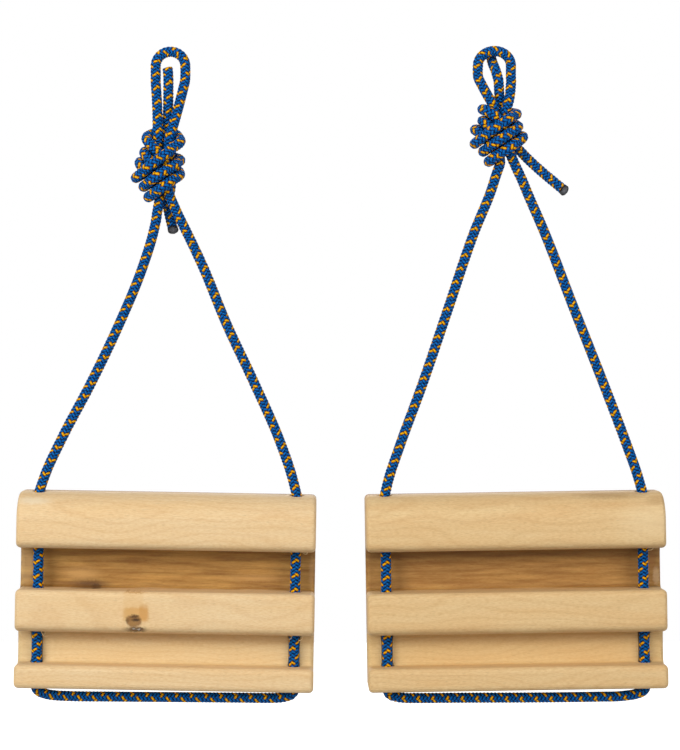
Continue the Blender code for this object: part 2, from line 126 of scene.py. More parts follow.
# %% Routes of both cords
# In metres are the hook, how the board is shifted and lifted, the bows of the legs at parts of their way,
# and the drops of the run below the board. The roll is in degrees. The rest is in cord diameters: from the
# hook down to the knot's middle, and from that middle for the knot, its cuts and what enters and leaves it.
# A band's point is the middle strand's place, then the step to the strand on its right, to the right and
# up. The left strand is one such step to the other side, or as many as the point's last number says. The
# cuts are where the legs and the lower tail stop being pulled.
UNITS = {
    "left_unit": {
        "hook": (0.0, 0.0),
        "board_shift": -0.0019,
        "board_lift": 0.0,
        "roll": 1.0,
        "loop_sides": (-1.47, 1.38),
        "loop_left": [(-1.47, -2.64), (-1.33, -3.66), (-1.20, -4.63), (-1.11, -5.64)],
        "loop_right": [(1.30, -2.64), (1.10, -3.66), (0.82, -4.63), (0.54, -5.64)],
        "tail_tip": [],
        "upper_tail": [
            (-0.34, -1.03, 0.0), (-0.29, -1.43, 0.0), (-0.24, -2.86, 0.0),
            (-0.23, -4.29, -0.36), (-0.26, -5.64, -0.69),
        ],
        "knot": (-1.11, -10.31),
        "cuts": (-5.0, -4.2),
        "enter_left": [(0.0, 3.3, 0.0), (-0.10, 2.1, -0.1)],
        "enter_middle": [(0.75, 3.3, -0.7), (0.45, 2.1, -0.95)],
        "enter_right": [(1.35, 3.3, 0.4), (1.00, 2.1, 0.2)],
        "band": [
            (0.15, 0.60, -0.50, 0.95, 0.00),
            (-0.15, -0.80, -0.75, 0.90, -0.15),
            (-0.65, -2.00, -0.90, 0.75, -0.70),
            (-1.35, -2.65, -0.55, 0.60, -0.88),
            (-1.75, -2.58, 0.50, 0.45, -0.96),
            (-1.20, -2.20, 1.50, 0.56, -0.95),
            (-0.20, -1.45, 1.90, 0.45, -0.95, 0.95),
            (0.80, -0.70, 1.80, 0.25, -1.00, 1.10),
            (1.60, 0.20, 0.70, 0.00, -1.08, 2.15),
            (1.35, 0.75, -0.90, 0.00, -1.10, 2.35),
            (0.25, 1.10, -1.80, 0.00, -1.10, 2.30),
            (-0.90, 1.30, -1.50, 0.00, -1.10, 2.15),
            (-1.35, 1.20, -0.30, -0.05, -1.10, 2.00),
            (-1.00, 0.75, 0.70, -0.45, -1.00, 1.45),
            (-0.40, -0.50, 0.90, -0.88, -0.60),
            (0.05, -1.80, 0.75, -1.02, -0.30),
        ],
        "lower_tail": [(0.65, -3.5, -0.75), (0.85, -4.6, -0.95), (1.26, -6.3, -0.9)],
        "leave_left": [(-0.25, -3.5, 0.2), (-0.25, -4.9, 0.1), (-0.53, -6.34, 0.0)],
        "leave_right": [(0.90, -3.1, 0.75), (1.80, -4.9, 0.35), (2.51, -6.34, 0.0)],
        "left_leg": [(0.13, 0.0030), (0.36, 0.0040), (0.58, 0.0026), (0.80, -0.0004), (0.93, -0.0010)],
        "right_leg": [(0.13, 0.0012), (0.36, 0.0010), (0.58, 0.0028), (0.80, 0.0036), (0.93, 0.0020)],
        "run": [(0.0, 0.0068), (0.12, 0.0068), (0.3, 0.0067), (0.55, 0.0063), (0.82, 0.0059), (0.9, 0.0058),
                (1.0, 0.0058)],
    },
    "right_unit": {
        "hook": (UNIT_SPACING, 0.0005),
        "board_shift": 0.0134,
        "board_lift": -0.0005,
        "roll": -0.9,
        "loop_sides": (-1.50, 1.67),
        "loop_left": [(-1.19, -2.67), (-0.84, -3.44), (-0.53, -4.21)],
        "loop_right": [(1.70, -2.67), (1.69, -3.44), (1.61, -4.21)],
        "tail_tip": [(-0.16, 0.12, -1.12), (-0.05, -0.38, -0.98), (0.08, -0.90, -0.52)],
        "upper_tail": [(0.24, -1.43, -0.12), (0.46, -2.29, 0.0), (0.66, -3.29, 0.0), (0.74, -4.21, 0.0)],
        "knot": (0.43, -7.49),
        "cuts": (-4.6, -2.6),
        "enter_left": [(-0.70, 2.5, 0.0), (-0.45, 1.9, -0.1)],
        "enter_middle": [(0.35, 2.5, -0.2), (0.35, 1.9, -0.3)],
        "enter_right": [(1.25, 2.5, 0.0), (1.20, 1.9, -0.1)],
        "band": [
            (-0.10, 0.50, -0.50, 1.06, -0.10),
            (-0.50, -0.80, -0.80, 0.95, -0.42),
            (-1.20, -1.60, -0.75, 0.66, -0.82),
            (-1.75, -1.75, 0.20, 0.45, -0.96),
            (-1.20, -1.45, 1.40, 0.56, -0.90),
            (-0.15, -0.80, 1.90, 0.56, -0.90),
            (1.00, 0.15, 1.70, 0.34, -0.97),
            (1.65, 0.75, 0.40, -0.10, -1.06),
            (1.20, 1.00, -1.30, -0.05, -1.06),
            (0.00, 1.15, -1.80, 0.00, -1.06),
            (-1.15, 1.25, -1.30, 0.00, -1.06),
            (-1.60, 1.30, -0.10, 0.00, -1.06),
            (-1.05, 0.90, 0.80, -0.53, -0.90),
            (-0.25, -0.10, 0.90, -0.91, -0.53),
            (0.20, -1.10, 0.60, -1.02, -0.25),
        ],
        "lower_tail": [(1.75, -1.25, 0.0), (2.55, -2.05, -0.2), (3.90, -3.30, -0.3), (6.40, -5.45, 0.0)],
        "leave_left": [(0.15, -2.5, 0.2), (-0.30, -4.3, 0.1), (-0.54, -5.10, 0.0)],
        "leave_right": [(1.30, -2.4, 0.2), (2.25, -4.3, 0.1), (2.59, -5.10, 0.0)],
        "left_leg": [(0.15, -0.0015), (0.40, -0.0011), (0.65, -0.0007), (0.85, -0.0014), (0.95, -0.0011)],
        "right_leg": [(0.15, 0.0013), (0.40, 0.0014), (0.65, 0.0018), (0.85, 0.0016), (0.95, 0.0010)],
        "run": [(0.0, 0.0060), (0.12, 0.0060), (0.25, 0.0062), (0.6, 0.0069), (0.82, 0.0070), (0.9, 0.0069),
                (1.0, 0.0068)],
    },
}

# How the run turns out of a hole: points inward and down, as parts of its drop there
RUN_CORNER = [(0.0, 0.25), (0.25, 0.55), (0.95, 0.82), (1.9, 0.96)]

# %% Curves through points
KNOT_STEP = 0.33
CURVE_PARTS = 24


def travelled(path):
    """How far along the path each of its points lies."""
    lengths = np.linalg.norm(np.diff(path, axis=0), axis=1)
    return np.concatenate([[0], np.cumsum(lengths)])


def even(path, step=None, count=None):
    """The same path with evenly spaced points."""
    run = travelled(path)
    if count is None:
        count = max(2, round(run[-1] / step) + 1)
    places = np.linspace(0, run[-1], count)
    return np.stack([np.interp(places, run, column) for column in path.T], axis=1)


def smooth(points, step):
    """A smooth curve through the points, whose bends follow the distances between them."""
    anchors = np.asarray(points, float)
    steps = np.diff(anchors, axis=0)
    chords = np.linalg.norm(steps, axis=1)[:, None]
    slopes = steps / chords
    middle = (slopes[:-1] * chords[1:] + slopes[1:] * chords[:-1]) / (chords[:-1] + chords[1:])
    tangents = np.vstack([slopes[:1], middle, slopes[-1:]])
    t = np.linspace(0, 1, CURVE_PARTS, endpoint=False)[:, None]
    pieces = []
    for i, chord in enumerate(chords):
        leaving = (2 * t ** 3 - 3 * t ** 2 + 1) * anchors[i] + (t ** 3 - 2 * t ** 2 + t) * chord * tangents[i]
        arriving = (3 * t ** 2 - 2 * t ** 3) * anchors[i + 1] + (t ** 3 - t ** 2) * chord * tangents[i + 1]
        pieces.append(leaving + arriving)
    return even(np.vstack(pieces + [anchors[-1:]]), step)


def placed(points, origin=(0.0, 0.0)):
    """Points in cord diameters, as metres from the hook. Those without a front lie in its plane."""
    return [((origin[0] + right) * CORD, (-front[0] if front else 0.0) * CORD, (origin[1] + up) * CORD)
            for right, up, *front in points]


def bowed(start, end, bows):
    """Points along the line from start to end, bowed sideways, to the right where positive."""
    start, end = Vector(start), Vector(end)
    along = (end - start).normalized()
    sideways = Vector((-along.z, 0.0, along.x))
    return [tuple(start.lerp(end, part) + sideways * bow) for part, bow in bows] + [tuple(end)]


# %% Pulling a knot tight
RELAX_ROUNDS = 320
PUSH = 0.45
STIFFNESS = 0.35
STRAND_GAP = 0.0008

# Each strand is held a little to its first route, and its points are spaced evenly again now and then.
# In the last part of the rounds nothing holds it, and it hardly straightens, so that it only comes apart.
HOLD = 0.004
RESPACING = 20
SETTLING = 0.1
SETTLED_STIFFNESS = 0.05

# In cord diameters: how near a strand is a neighbour of itself, how far below the hook's axis strands start
# to move, how straight the loop comes down from there, and how much of a leg gives way to the knot
OWN_REACH = 2.2
FREE_TOP = 1.2
STRAIGHT_TOP = 0.5
GIVING_LEG = 2.5


def close_pairs(strands, step):
    """Distances between all points of the strands, with a strand's own neighbours set aside."""
    owner = np.repeat(np.arange(len(strands)), [len(strand) for strand in strands])
    place = np.concatenate([np.arange(len(strand)) for strand in strands])
    near = (owner[:, None] == owner) & (np.abs(place[:, None] - place) * step < OWN_REACH * CORD)
    points = np.vstack(strands)
    offsets = points[:, None] - points
    distances = np.linalg.norm(offsets, axis=2)
    distances[near] = np.inf
    return offsets, distances


def relax(strands, ranges, step):
    """Strands that are too close push apart, and each strand smooths itself."""
    home = np.vstack(strands)
    points = home.copy()
    starts = np.cumsum([0] + [len(strand) for strand in strands])
    spans = [(start + first, start + last) for start, (first, last) in zip(starts, ranges)]
    moving = np.concatenate([np.arange(first, last) for first, last in spans])
    for turn in range(RELAX_ROUNDS):
        settling = turn > (1 - SETTLING) * RELAX_ROUNDS
        parts = [points[a:b] for a, b in zip(starts, starts[1:])]
        offsets, distances = close_pairs(parts, step)
        overlap = np.clip(CORD + STRAND_GAP - distances, 0, None)
        push = (offsets / distances[..., None] * overlap[..., None]).sum(axis=1)
        push *= PUSH / np.sqrt(np.maximum(1, (overlap > 0).sum(axis=1)))[:, None]
        bend = (points[moving - 1] + points[moving + 1]) / 2 - points[moving]
        move = push[moving] + bend * (SETTLED_STIFFNESS if settling else STIFFNESS)
        if not settling:
            move += HOLD * (home[moving] - points[moving])
        points[moving] += move
        if turn % RESPACING == RESPACING - 1:
            for first, last in spans:
                points[first:last] = even(points[first:last], count=last - first)
    return [points[a:b] for a, b in zip(starts, starts[1:])]


# %% From the loop through the knot to the holes


def on_board(unit, across, down):
    """A point of the holes' plane, across and down from between their mouths, in metres from the hook."""
    roll = math.radians(unit["roll"])
    right = across * math.cos(roll) - down * math.sin(roll)
    up = -across * math.sin(roll) - down * math.cos(roll)
    return (unit["board_shift"] + right, 0.0, up + unit["board_lift"] - BOARD_DROP)


def band_point(number, right, up, front, step_right, step_up, left_steps=1.0):
    """Where the left, middle or right strand, numbered -1, 0 or 1, runs at a point of the band."""
    steps = -left_steps if number == -1 else number
    return (right + steps * step_right, up + steps * step_up, front)


def knot_strands(unit):
    """The strands that reach the lower tail, the right hole and the left hole, each from the top."""
    knot = unit["knot"]
    step = KNOT_STEP * CORD
    leg_cut, tail_cut = (CORD * (knot[1] + cut) for cut in unit["cuts"])
    left, right = unit["loop_sides"]
    axis = -SWING_DROP / CORD
    legs = []
    for side, name in ((-1, "left"), (1, "right")):
        leave = placed(unit["leave_" + name], knot)
        legs.append(leave + bowed(leave[-1], on_board(unit, side * HOLE_REACH, 0.0), unit[name + "_leg"]))
    starts = (
        placed([(left, axis), (left, axis - STRAIGHT_TOP)] + unit["loop_left"]),
        placed(unit["upper_tail"]),
        placed([(right, axis), (right, axis - STRAIGHT_TOP)] + unit["loop_right"]),
    )
    enters = (unit["enter_left"], unit["enter_middle"], unit["enter_right"])
    ends = (placed(unit["lower_tail"], knot), legs[1], legs[0])
    strands, ranges = [], []
    for number, start, enter, end in zip((-1, 0, 1), starts, enters, ends):
        band = [band_point(number, *point) for point in unit["band"]]
        path = smooth(start + placed(enter + band, knot) + end, step)
        heights = path[:, 2]
        loose = np.flatnonzero(heights < -SWING_DROP - FREE_TOP * CORD)[0]
        cut = tail_cut if number == -1 else leg_cut
        strands.append(path)
        ranges.append((loose, np.flatnonzero(heights > cut)[-1]))
    reach = [last + round(GIVING_LEG / KNOT_STEP) for first, last in ranges]
    relaxed = relax([strand[:end] for strand, end in zip(strands, reach)], ranges, step)
    whole = [np.vstack([tight, strand[end:]]) for tight, strand, end in zip(relaxed, strands, reach)]
    print(f"Closest strands: {1000 * (close_pairs(whole, step)[1].min() - CORD):.2f} mm apart")
    return whole


# %% [markdown]
# ## Nodes as text
# Node trees are easier to read as text when a node, its settings and its links stand together, so one
# function adds any node with all of them. Long sums are easier to read as a table, in which each row names
# its result for the rows below, so a second function adds such a table.

# %% Nodes, tables of sums and colours


def add_node(tree, kind, inputs=None, **settings):
    """Adds a node. An input's value is a socket or a node to link from, or a plain value."""
    node = tree.nodes.new(kind)
    for setting, value in settings.items():
        setattr(node, setting, value)
    for key, value in (inputs or {}).items():
        if isinstance(value, bpy.types.Node):
            value = next(output for output in value.outputs if output.enabled)
        if isinstance(value, bpy.types.NodeSocket):
            tree.links.new(value, node.inputs[key])
        else:
            node.inputs[key].default_value = value
    return node


def add_sums(tree, sums, known, kind="ShaderNodeMath"):
    """Adds a table of sums: result, operation and values, which are numbers or names of what is known."""
    known = dict(known)
    for name, operation, *values in sums:
        inputs = {number: known.get(value, value) for number, value in enumerate(values)}
        known[name] = add_node(tree, kind, inputs, operation=operation)
    return known


def linear(colour):
    """An sRGB hex colour as the linear colour that Blender's sockets take."""
    parts = [int(colour[i:i + 2], 16) / 255 for i in (1, 3, 5)]
    bent = [part / 12.92 if part <= 0.04045 else ((part + 0.055) / 1.055) ** 2.4 for part in parts]
    return (*bent, 1.0)


# %% [markdown]
# ## The braid
# The sheath of this cord is a braid of sixteen yarns, eight wound each way, and each yarn passes over two
# and under two. Laid flat, the two sets of yarns are a grid of slanted cells. The sum of a cell's two
# numbers says which set is on top there, which gives the upright columns of short slanted stitches. Every
# fourth yarn is orange in each set, and where two of them meet they make the cord's ticks.
# The sums stand in one table, because they are used twice: Geometry Nodes lift the yarns in the mesh, and
# the material colours them.

# %% Sums of the braid
YARNS_EACH_WAY = 8
COLOUR_REPEAT = 4

# How far a yarn's crown moves across it along one stitch, because the yarns beside it push it over
LEAN = 0.5

# How round a yarn is across and along: towards 0 its top is flatter and its sides are steeper
ROUND_ACROSS = 0.8
ROUND_ALONG = 0.65

# A place on the braid is known by how far it is sideways and forwards of the cord's middle, by the braid's
# turn there, and by the rows counted along the cord. around is in turns about the cord
BRAID_SUMS = (
    ("angle", "ARCTAN2", "sideways", "forwards"),
    ("around", "MULTIPLY_ADD", "angle", 0.5 / math.pi, "turn"),
    ("across", "MULTIPLY", "around", YARNS_EACH_WAY),
    ("one", "ADD", "across", "rows"),
    ("other", "SUBTRACT", "across", "rows"),
    ("one_yarn", "FLOOR", "one"),
    ("other_yarn", "FLOOR", "other"),
    ("one_part", "FRACT", "one"),
    ("other_part", "FRACT", "other"),
    ("cell", "ADD", "one_yarn", "other_yarn"),
    ("column", "FLOORED_MODULO", "cell", 4),
    ("one_on_top", "LESS_THAN", "column", 1.5),
    ("parts_apart", "SUBTRACT", "one_part", "other_part"),
    ("width", "MULTIPLY_ADD", "parts_apart", "one_on_top", "other_part"),
    ("parts_added", "ADD", "one_part", "other_part"),
    ("way", "SUBTRACT", "parts_added", "width"),
    ("half", "FLOORED_MODULO", "column", 2),
    ("stitch_way", "ADD", "half", "way"),
    ("length", "MULTIPLY", "stitch_way", 0.5),
    ("pushed", "MULTIPLY_ADD", "length", -LEAN, LEAN / 2),
    ("leaning", "ADD", "width", "pushed"),
    ("leaning_up", "MAXIMUM", "leaning", 0.0),
    ("crown_place", "MINIMUM", "leaning_up", 1.0),
    ("width_turn", "MULTIPLY", "crown_place", math.pi),
    ("width_bow", "SINE", "width_turn"),
    ("crown", "POWER", "width_bow", ROUND_ACROSS),
    ("length_turn", "MULTIPLY", "length", math.pi),
    ("length_bow", "SINE", "length_turn"),
    ("dive", "POWER", "length_bow", ROUND_ALONG),
    ("height", "MULTIPLY", "crown", "dive"),
    ("other_shifted", "SUBTRACT", "other_yarn", 1),
    ("yarns_apart", "SUBTRACT", "one_yarn", "other_shifted"),
    ("yarn", "MULTIPLY_ADD", "yarns_apart", "one_on_top", "other_shifted"),
    ("in_repeat", "FLOORED_MODULO", "yarn", COLOUR_REPEAT),
    ("coloured", "COMPARE", "in_repeat", 0, 0.5),
)

# %% [markdown]
# ## A tube that is braided
# A cord could be a curve with a bump map, but its outline would be smooth, and here the stitches are a
# millimetre wide and show at the edge. So Geometry Nodes sweep a ring along the cord's route and push each
# point out by the height of the yarn that lies there. The route carries what changes along it: how far
# the braid has come, how it is turned, and where its front is.

# %% Braided cord in Geometry Nodes
# How high a yarn's crown stands above the gaps, and the part of it at which the cord has its diameter
YARN_RELIEF = 0.00038
MEAN_HEIGHT = 0.80
CORD_SIDES = 48


def make_braid_tree():
    """Geometry Nodes that turn a route into a braided tube."""
    tree = bpy.data.node_groups.new("braided_cord", "GeometryNodeTree")
    tree.interface.new_socket("Geometry", in_out="OUTPUT", socket_type="NodeSocketGeometry")
    for name, kind in (("Geometry", "Geometry"), ("Diameter", "Float"), ("Sides", "Int"), ("Relief", "Float"),
                       ("Material", "Material")):
        tree.interface.new_socket(name, in_out="INPUT", socket_type="NodeSocket" + kind)
    given = tree.nodes.new("NodeGroupInput").outputs
    line = add_node(tree, "GeometryNodeMeshToCurve", {"Mesh": given["Geometry"]})
    for name, field in (("middle", "GeometryNodeInputPosition"), ("ahead", "GeometryNodeInputTangent")):
        line = add_node(tree, "GeometryNodeStoreNamedAttribute", {
            "Geometry": line, "Name": name, "Value": add_node(tree, field),
        }, data_type="FLOAT_VECTOR", domain="POINT")
    stored = {}
    for name, kind in (("middle", "FLOAT_VECTOR"), ("ahead", "FLOAT_VECTOR"), ("front", "FLOAT_VECTOR"),
                       ("rows", "FLOAT"), ("turn", "FLOAT")):
        stored[name] = add_node(tree, "GeometryNodeInputNamedAttribute", {"Name": name}, data_type=kind)

    half = add_node(tree, "ShaderNodeMath", {0: given["Diameter"], 1: 0.5}, operation="MULTIPLY")
    inner = add_node(tree, "ShaderNodeMath", {0: given["Relief"], 1: -MEAN_HEIGHT, 2: half},
                     operation="MULTIPLY_ADD")
    ring = add_node(tree, "GeometryNodeCurvePrimitiveCircle", {"Resolution": given["Sides"], "Radius": inner})
    tube = add_node(tree, "GeometryNodeCurveToMesh", {
        "Curve": line, "Profile Curve": ring, "Fill Caps": True})

    # How far round the cord a point lies from its front
    here = add_node(tree, "GeometryNodeInputPosition")
    seen = add_sums(tree, (
        ("outward", "SUBTRACT", "here", "middle"),
        ("out", "NORMALIZE", "outward"),
        ("side", "CROSS_PRODUCT", "ahead", "front"),
        ("sideways", "DOT_PRODUCT", "out", "side"),
        ("forwards", "DOT_PRODUCT", "out", "front"),
    ), {**stored, "here": here}, "ShaderNodeVectorMath")
    braid = add_sums(tree, BRAID_SUMS, seen)
    lift = add_node(tree, "ShaderNodeMath", {0: given["Relief"], 1: braid["height"]}, operation="MULTIPLY")
    offset = add_node(tree, "ShaderNodeVectorMath", {0: seen["out"], "Scale": lift}, operation="SCALE")
    lifted = add_node(tree, "GeometryNodeSetPosition", {"Geometry": tube, "Offset": offset})

    # The material finds its place on the braid in one attribute, which has no seam
    seat = add_sums(tree, (
        ("turned", "MULTIPLY", "around", 2 * math.pi),
        ("forwards", "COSINE", "turned"),
        ("sideways", "SINE", "turned"),
    ), braid)
    place = add_node(tree, "ShaderNodeCombineXYZ", {
        "X": seat["forwards"], "Y": seat["sideways"], "Z": seat["rows"]})
    marked = add_node(tree, "GeometryNodeStoreNamedAttribute", {
        "Geometry": lifted, "Name": "braid", "Value": place,
    }, data_type="FLOAT_VECTOR", domain="POINT")
    for name in ("middle", "ahead", "front", "rows", "turn"):
        marked = add_node(tree, "GeometryNodeRemoveAttribute", {"Geometry": marked, "Name": name})
    soft = add_node(tree, "GeometryNodeSetShadeSmooth", {"Geometry": marked, "Shade Smooth": True})
    real = add_node(tree, "GeometryNodeRealizeInstances", {"Geometry": soft})
    finished = add_node(tree, "GeometryNodeSetMaterial", {"Geometry": real, "Material": given["Material"]})
    add_node(tree, "NodeGroupOutput", {"Geometry": finished})
    return tree


braid_tree = make_braid_tree()
print("Braid tree:", len(braid_tree.nodes), "nodes")

# %% [markdown]
# ## The cord's material
# The sheath is polyamide yarn, a fine filament yarn with a soft gloss. Its blue is darkened to a deep navy
# where the yarns dive, as painted shade in the gaps between them, and is brightest on their crowns, and the
# orange yarns are built alike. Each yarn is a bundle of fine filaments, which are drawn here six to a yarn,
# far coarser than real, because real ones are too fine to show. The cut ends are melted with a flame so that
# they can't fray, which leaves a hard, dark skin.

# %% Braided polyamide
# Each pair is the yarns' colour darkened as painted shade in the gaps, and their colour on the crowns
BLUE = "#00143c", "#0068ba"
ORANGE = "#5a2a00", "#ffb600"
MELTED = "#101116"
CUT_FACE = "#80828a"
YARN_BUMP = 0.0005
YARN_ROUGHNESS = 0.6
MELTED_ROUGHNESS = 0.35
FILAMENTS = 6
FILAMENT_BUMP = 0.00008


def new_material(name):
    """A material, its node tree and its shader."""
    made = bpy.data.materials.new(name)
    made.use_nodes = True
    return made, made.node_tree, made.node_tree.nodes["Principled BSDF"]


def make_cord_material():
    """Soft gloss, painted shade in the gaps between yarns, and filaments along each yarn."""
    made, tree, shader = new_material("braided_polyamide")
    place = add_node(tree, "ShaderNodeAttribute", attribute_name="braid").outputs["Vector"]
    place = add_node(tree, "ShaderNodeSeparateXYZ", {0: place}).outputs
    braid = add_sums(tree, BRAID_SUMS, {
        "sideways": place["Y"], "forwards": place["X"], "turn": 0.0, "rows": place["Z"]})

    # Painted shade: the colour darkens from the crown colour to the gap colour as the yarn's height falls
    raised = add_node(tree, "ShaderNodeMapRange", {
        "Value": braid["height"], "From Min": 0.05, "From Max": 0.80,
    }, interpolation_type="SMOOTHSTEP")
    blue, orange = (
        add_node(tree, "ShaderNodeMix", {0: raised, 6: linear(gap), 7: linear(crown)}, data_type="RGBA")
        for gap, crown in (BLUE, ORANGE))
    yarns = add_node(tree, "ShaderNodeMix", {0: braid["coloured"], 6: blue, 7: orange}, data_type="RGBA")

    # The mark of a melted end is 1 on its skin and 2 in the middle of its cut face
    melted = add_node(tree, "ShaderNodeAttribute", attribute_name="melted").outputs["Fac"]
    face = add_node(tree, "ShaderNodeMapRange", {"Value": melted, "From Min": 1.0, "From Max": 2.0})
    melted = add_node(tree, "ShaderNodeMath", {0: melted, 1: 1.0}, operation="MINIMUM")
    skin = add_node(tree, "ShaderNodeMix", {0: face, 6: linear(MELTED), 7: linear(CUT_FACE)},
                    data_type="RGBA")
    colour = add_node(tree, "ShaderNodeMix", {0: melted, 6: yarns, 7: skin}, data_type="RGBA")
    tree.links.new(colour.outputs[2], shader.inputs["Base Color"])

    fine = add_sums(tree, (
        ("unmelted", "SUBTRACT", 1.0, "melted"),
        ("turns", "MULTIPLY", "leaning", 2 * math.pi * FILAMENTS),
        ("filaments", "SINE", "turns"),
        ("filaments", "MULTIPLY", "filaments", "unmelted"),
        ("yarns", "MULTIPLY", "height", "unmelted"),
    ), {**braid, "melted": melted})
    rounded = add_node(tree, "ShaderNodeBump", {"Distance": YARN_BUMP, "Height": fine["yarns"]})
    bump = add_node(tree, "ShaderNodeBump", {
        "Strength": 0.3, "Distance": FILAMENT_BUMP, "Height": fine["filaments"], "Normal": rounded})
    tree.links.new(bump.outputs[0], shader.inputs["Normal"])
    gloss = add_node(tree, "ShaderNodeMapRange", {
        "Value": melted, "To Min": YARN_ROUGHNESS, "To Max": MELTED_ROUGHNESS})
    tree.links.new(gloss.outputs[0], shader.inputs["Roughness"])
    shader.inputs["IOR"].default_value = 1.53
    shader.inputs["Specular IOR Level"].default_value = 0.1
    return made


cord_material = make_cord_material()
print("Cord material:", len(cord_material.node_tree.nodes), "nodes")

# %% [markdown]
# ## Laying the cords
# Each cord is one length, but it crosses two joints: the loop swings under the hook, and the board tilts
# under the knot. So it is made in stretches that each cross one joint at most, and they meet inside the
# knot or inside a hole, where no seam shows.
# Where a tick falls depends on how the braid was stretched and twisted when the knot was tied. A few ticks
# were measured on the real cord: where they are, and how far the braid is turned there. The rows between
# them are counted evenly. The right unit's cord was threaded the other way round, which its ticks show.

# %% Measured ticks, in metres from the origin to the right and up, with the braid's turn
ROW = 0.00242
BRAID_WAYS = {"left_unit": 1, "right_unit": -1}
TICKS = {
    "left_unit": {
        "loop": ((0.0012, -0.0483, 0.000), (0.0084, -0.0015, 0.025), (-0.0103, -0.0166, -0.062),
                 (-0.0090, -0.0451, -0.012)),
        "upper_tail": ((-0.0017, -0.0173, 0.200), (-0.0019, -0.0265, 0.225)),
        "lower_tail": ((-0.0013, -0.1069, 0.175),),
        "left_leg": ((-0.0844, -0.2806, 0.125), (-0.0407, -0.1928, 0.050), (-0.0108, -0.1137, -0.012)),
        "right_leg": ((0.0100, -0.1171, 0.075), (0.0162, -0.1349, 0.213), (0.0231, -0.1530, 0.238),
                      (0.0431, -0.1973, 0.125), (0.0678, -0.2494, 0.075), (0.0786, -0.2761, -0.050)),
        "run": ((0.0838, -0.3492, 0.150), (0.0830, -0.3990, 0.075), (-0.0661, -0.4309, -0.025),
                (-0.0904, -0.3947, 0.013), (-0.0895, -0.3449, -0.037)),
    },
    "right_unit": {
        "loop": ((0.2121, -0.0237, 0.150), (0.2077, -0.0153, 0.138), (0.2101, 0.0011, 0.250),
                 (0.2291, -0.0079, 0.238), (0.2285, -0.0259, 0.325)),
        "upper_tail": ((0.2214, -0.0213, 0.062), (0.2205, -0.0129, 0.075)),
        "lower_tail": ((0.2415, -0.0693, 0.138),),
        "left_leg": ((0.2186, -0.0811, 0.062), (0.1912, -0.1621, 0.000), (0.1546, -0.2634, 0.062),
                     (0.1480, -0.2815, 0.138)),
        "right_leg": ((0.3142, -0.2818, 0.075), (0.2884, -0.2174, -0.075), (0.2569, -0.1356, -0.087),
                      (0.2358, -0.0816, -0.025)),
        "run": ((0.1448, -0.3409, 0.163), (0.2167, -0.4319, 0.100), (0.2960, -0.4312, 0.062),
                (0.3184, -0.3506, 0.075)),
    },
}

# %% From a route to a braided mesh
RING_STEP = 0.00045


def carried_fronts(path):
    """The front at each point of a path, turned as little as possible on the way."""
    ahead = np.gradient(path, axis=0)
    ahead /= np.linalg.norm(ahead, axis=1)[:, None]
    fronts = []
    front = np.array((0.0, -1.0, 0.0))
    for direction in ahead:
        front = front - direction * (front @ direction)
        front /= np.linalg.norm(front)
        fronts.append(front)
    return np.array(fronts)


def counted(path, ticks):
    """Rows and turns of the braid along a path, from the ticks that were measured near it."""
    run = travelled(path)
    found = [(run[np.linalg.norm(path[:, (0, 2)] - (right, up), axis=1).argmin()], turn)
             for right, up, turn in ticks]
    places, turns = zip(*sorted(found))
    rows = [0.0]
    for before, after in zip(places, places[1:]):
        rows.append(rows[-1] + COLOUR_REPEAT * round((after - before) / (COLOUR_REPEAT * ROW)))
    all_places = [run[0], *places, run[-1]]
    all_rows = [(run[0] - places[0]) / ROW, *rows, rows[-1] + (run[-1] - places[-1]) / ROW]
    return np.interp(run, all_places, all_rows), np.interp(run, places, turns)


def braided_tube(name, path, ticks):
    """A braided cord on the path, as a plain mesh object."""
    mesh = bpy.data.meshes.new(name + "_route")
    mesh.from_pydata(path.tolist(), [(i, i + 1) for i in range(len(path) - 1)], [])
    rows, turns = counted(path, ticks)
    for key, values in (("rows", rows), ("turn", turns), ("melted", np.zeros(len(path)))):
        mesh.attributes.new(key, "FLOAT", "POINT").data.foreach_set("value", values.astype(np.float32))
    fronts = carried_fronts(path).astype(np.float32)
    mesh.attributes.new("front", "FLOAT_VECTOR", "POINT").data.foreach_set("vector", fronts.ravel())
    route = add_object(name + "_route", mesh)
    modifier = route.modifiers.new("braid", "NODES")
    modifier.node_group = braid_tree
    sizes = {"Diameter": CORD, "Sides": CORD_SIDES, "Relief": YARN_RELIEF, "Material": cord_material}
    for socket in braid_tree.interface.items_tree:
        if socket.in_out == "INPUT" and socket.name in sizes:
            modifier[socket.identifier] = sizes[socket.name]
    depsgraph = bpy.context.evaluated_depsgraph_get()
    plain = bpy.data.meshes.new_from_object(route.evaluated_get(depsgraph), depsgraph=depsgraph)
    bpy.data.objects.remove(route)
    plain.name = name
    return add_object(name, plain)


# %% [markdown]
# ## Cut ends
# A cut end isn't a neat disc. A hot knife goes through at a slant, the yarns shrink back a little, and a
# dark lip is left round a flat face. The tube is therefore made a little too long, and every point past
# the slanted cut is brought back along the cord to the cut's plane.

# %% Cutting a cord at a slant
MELT_LENGTH = 0.0008
LIP = 1.06
LIP_LENGTH = 0.0014
WELD_REACH = 0.00002

# Only a tube's cap has more sides than this
MOST_SIDES = 8


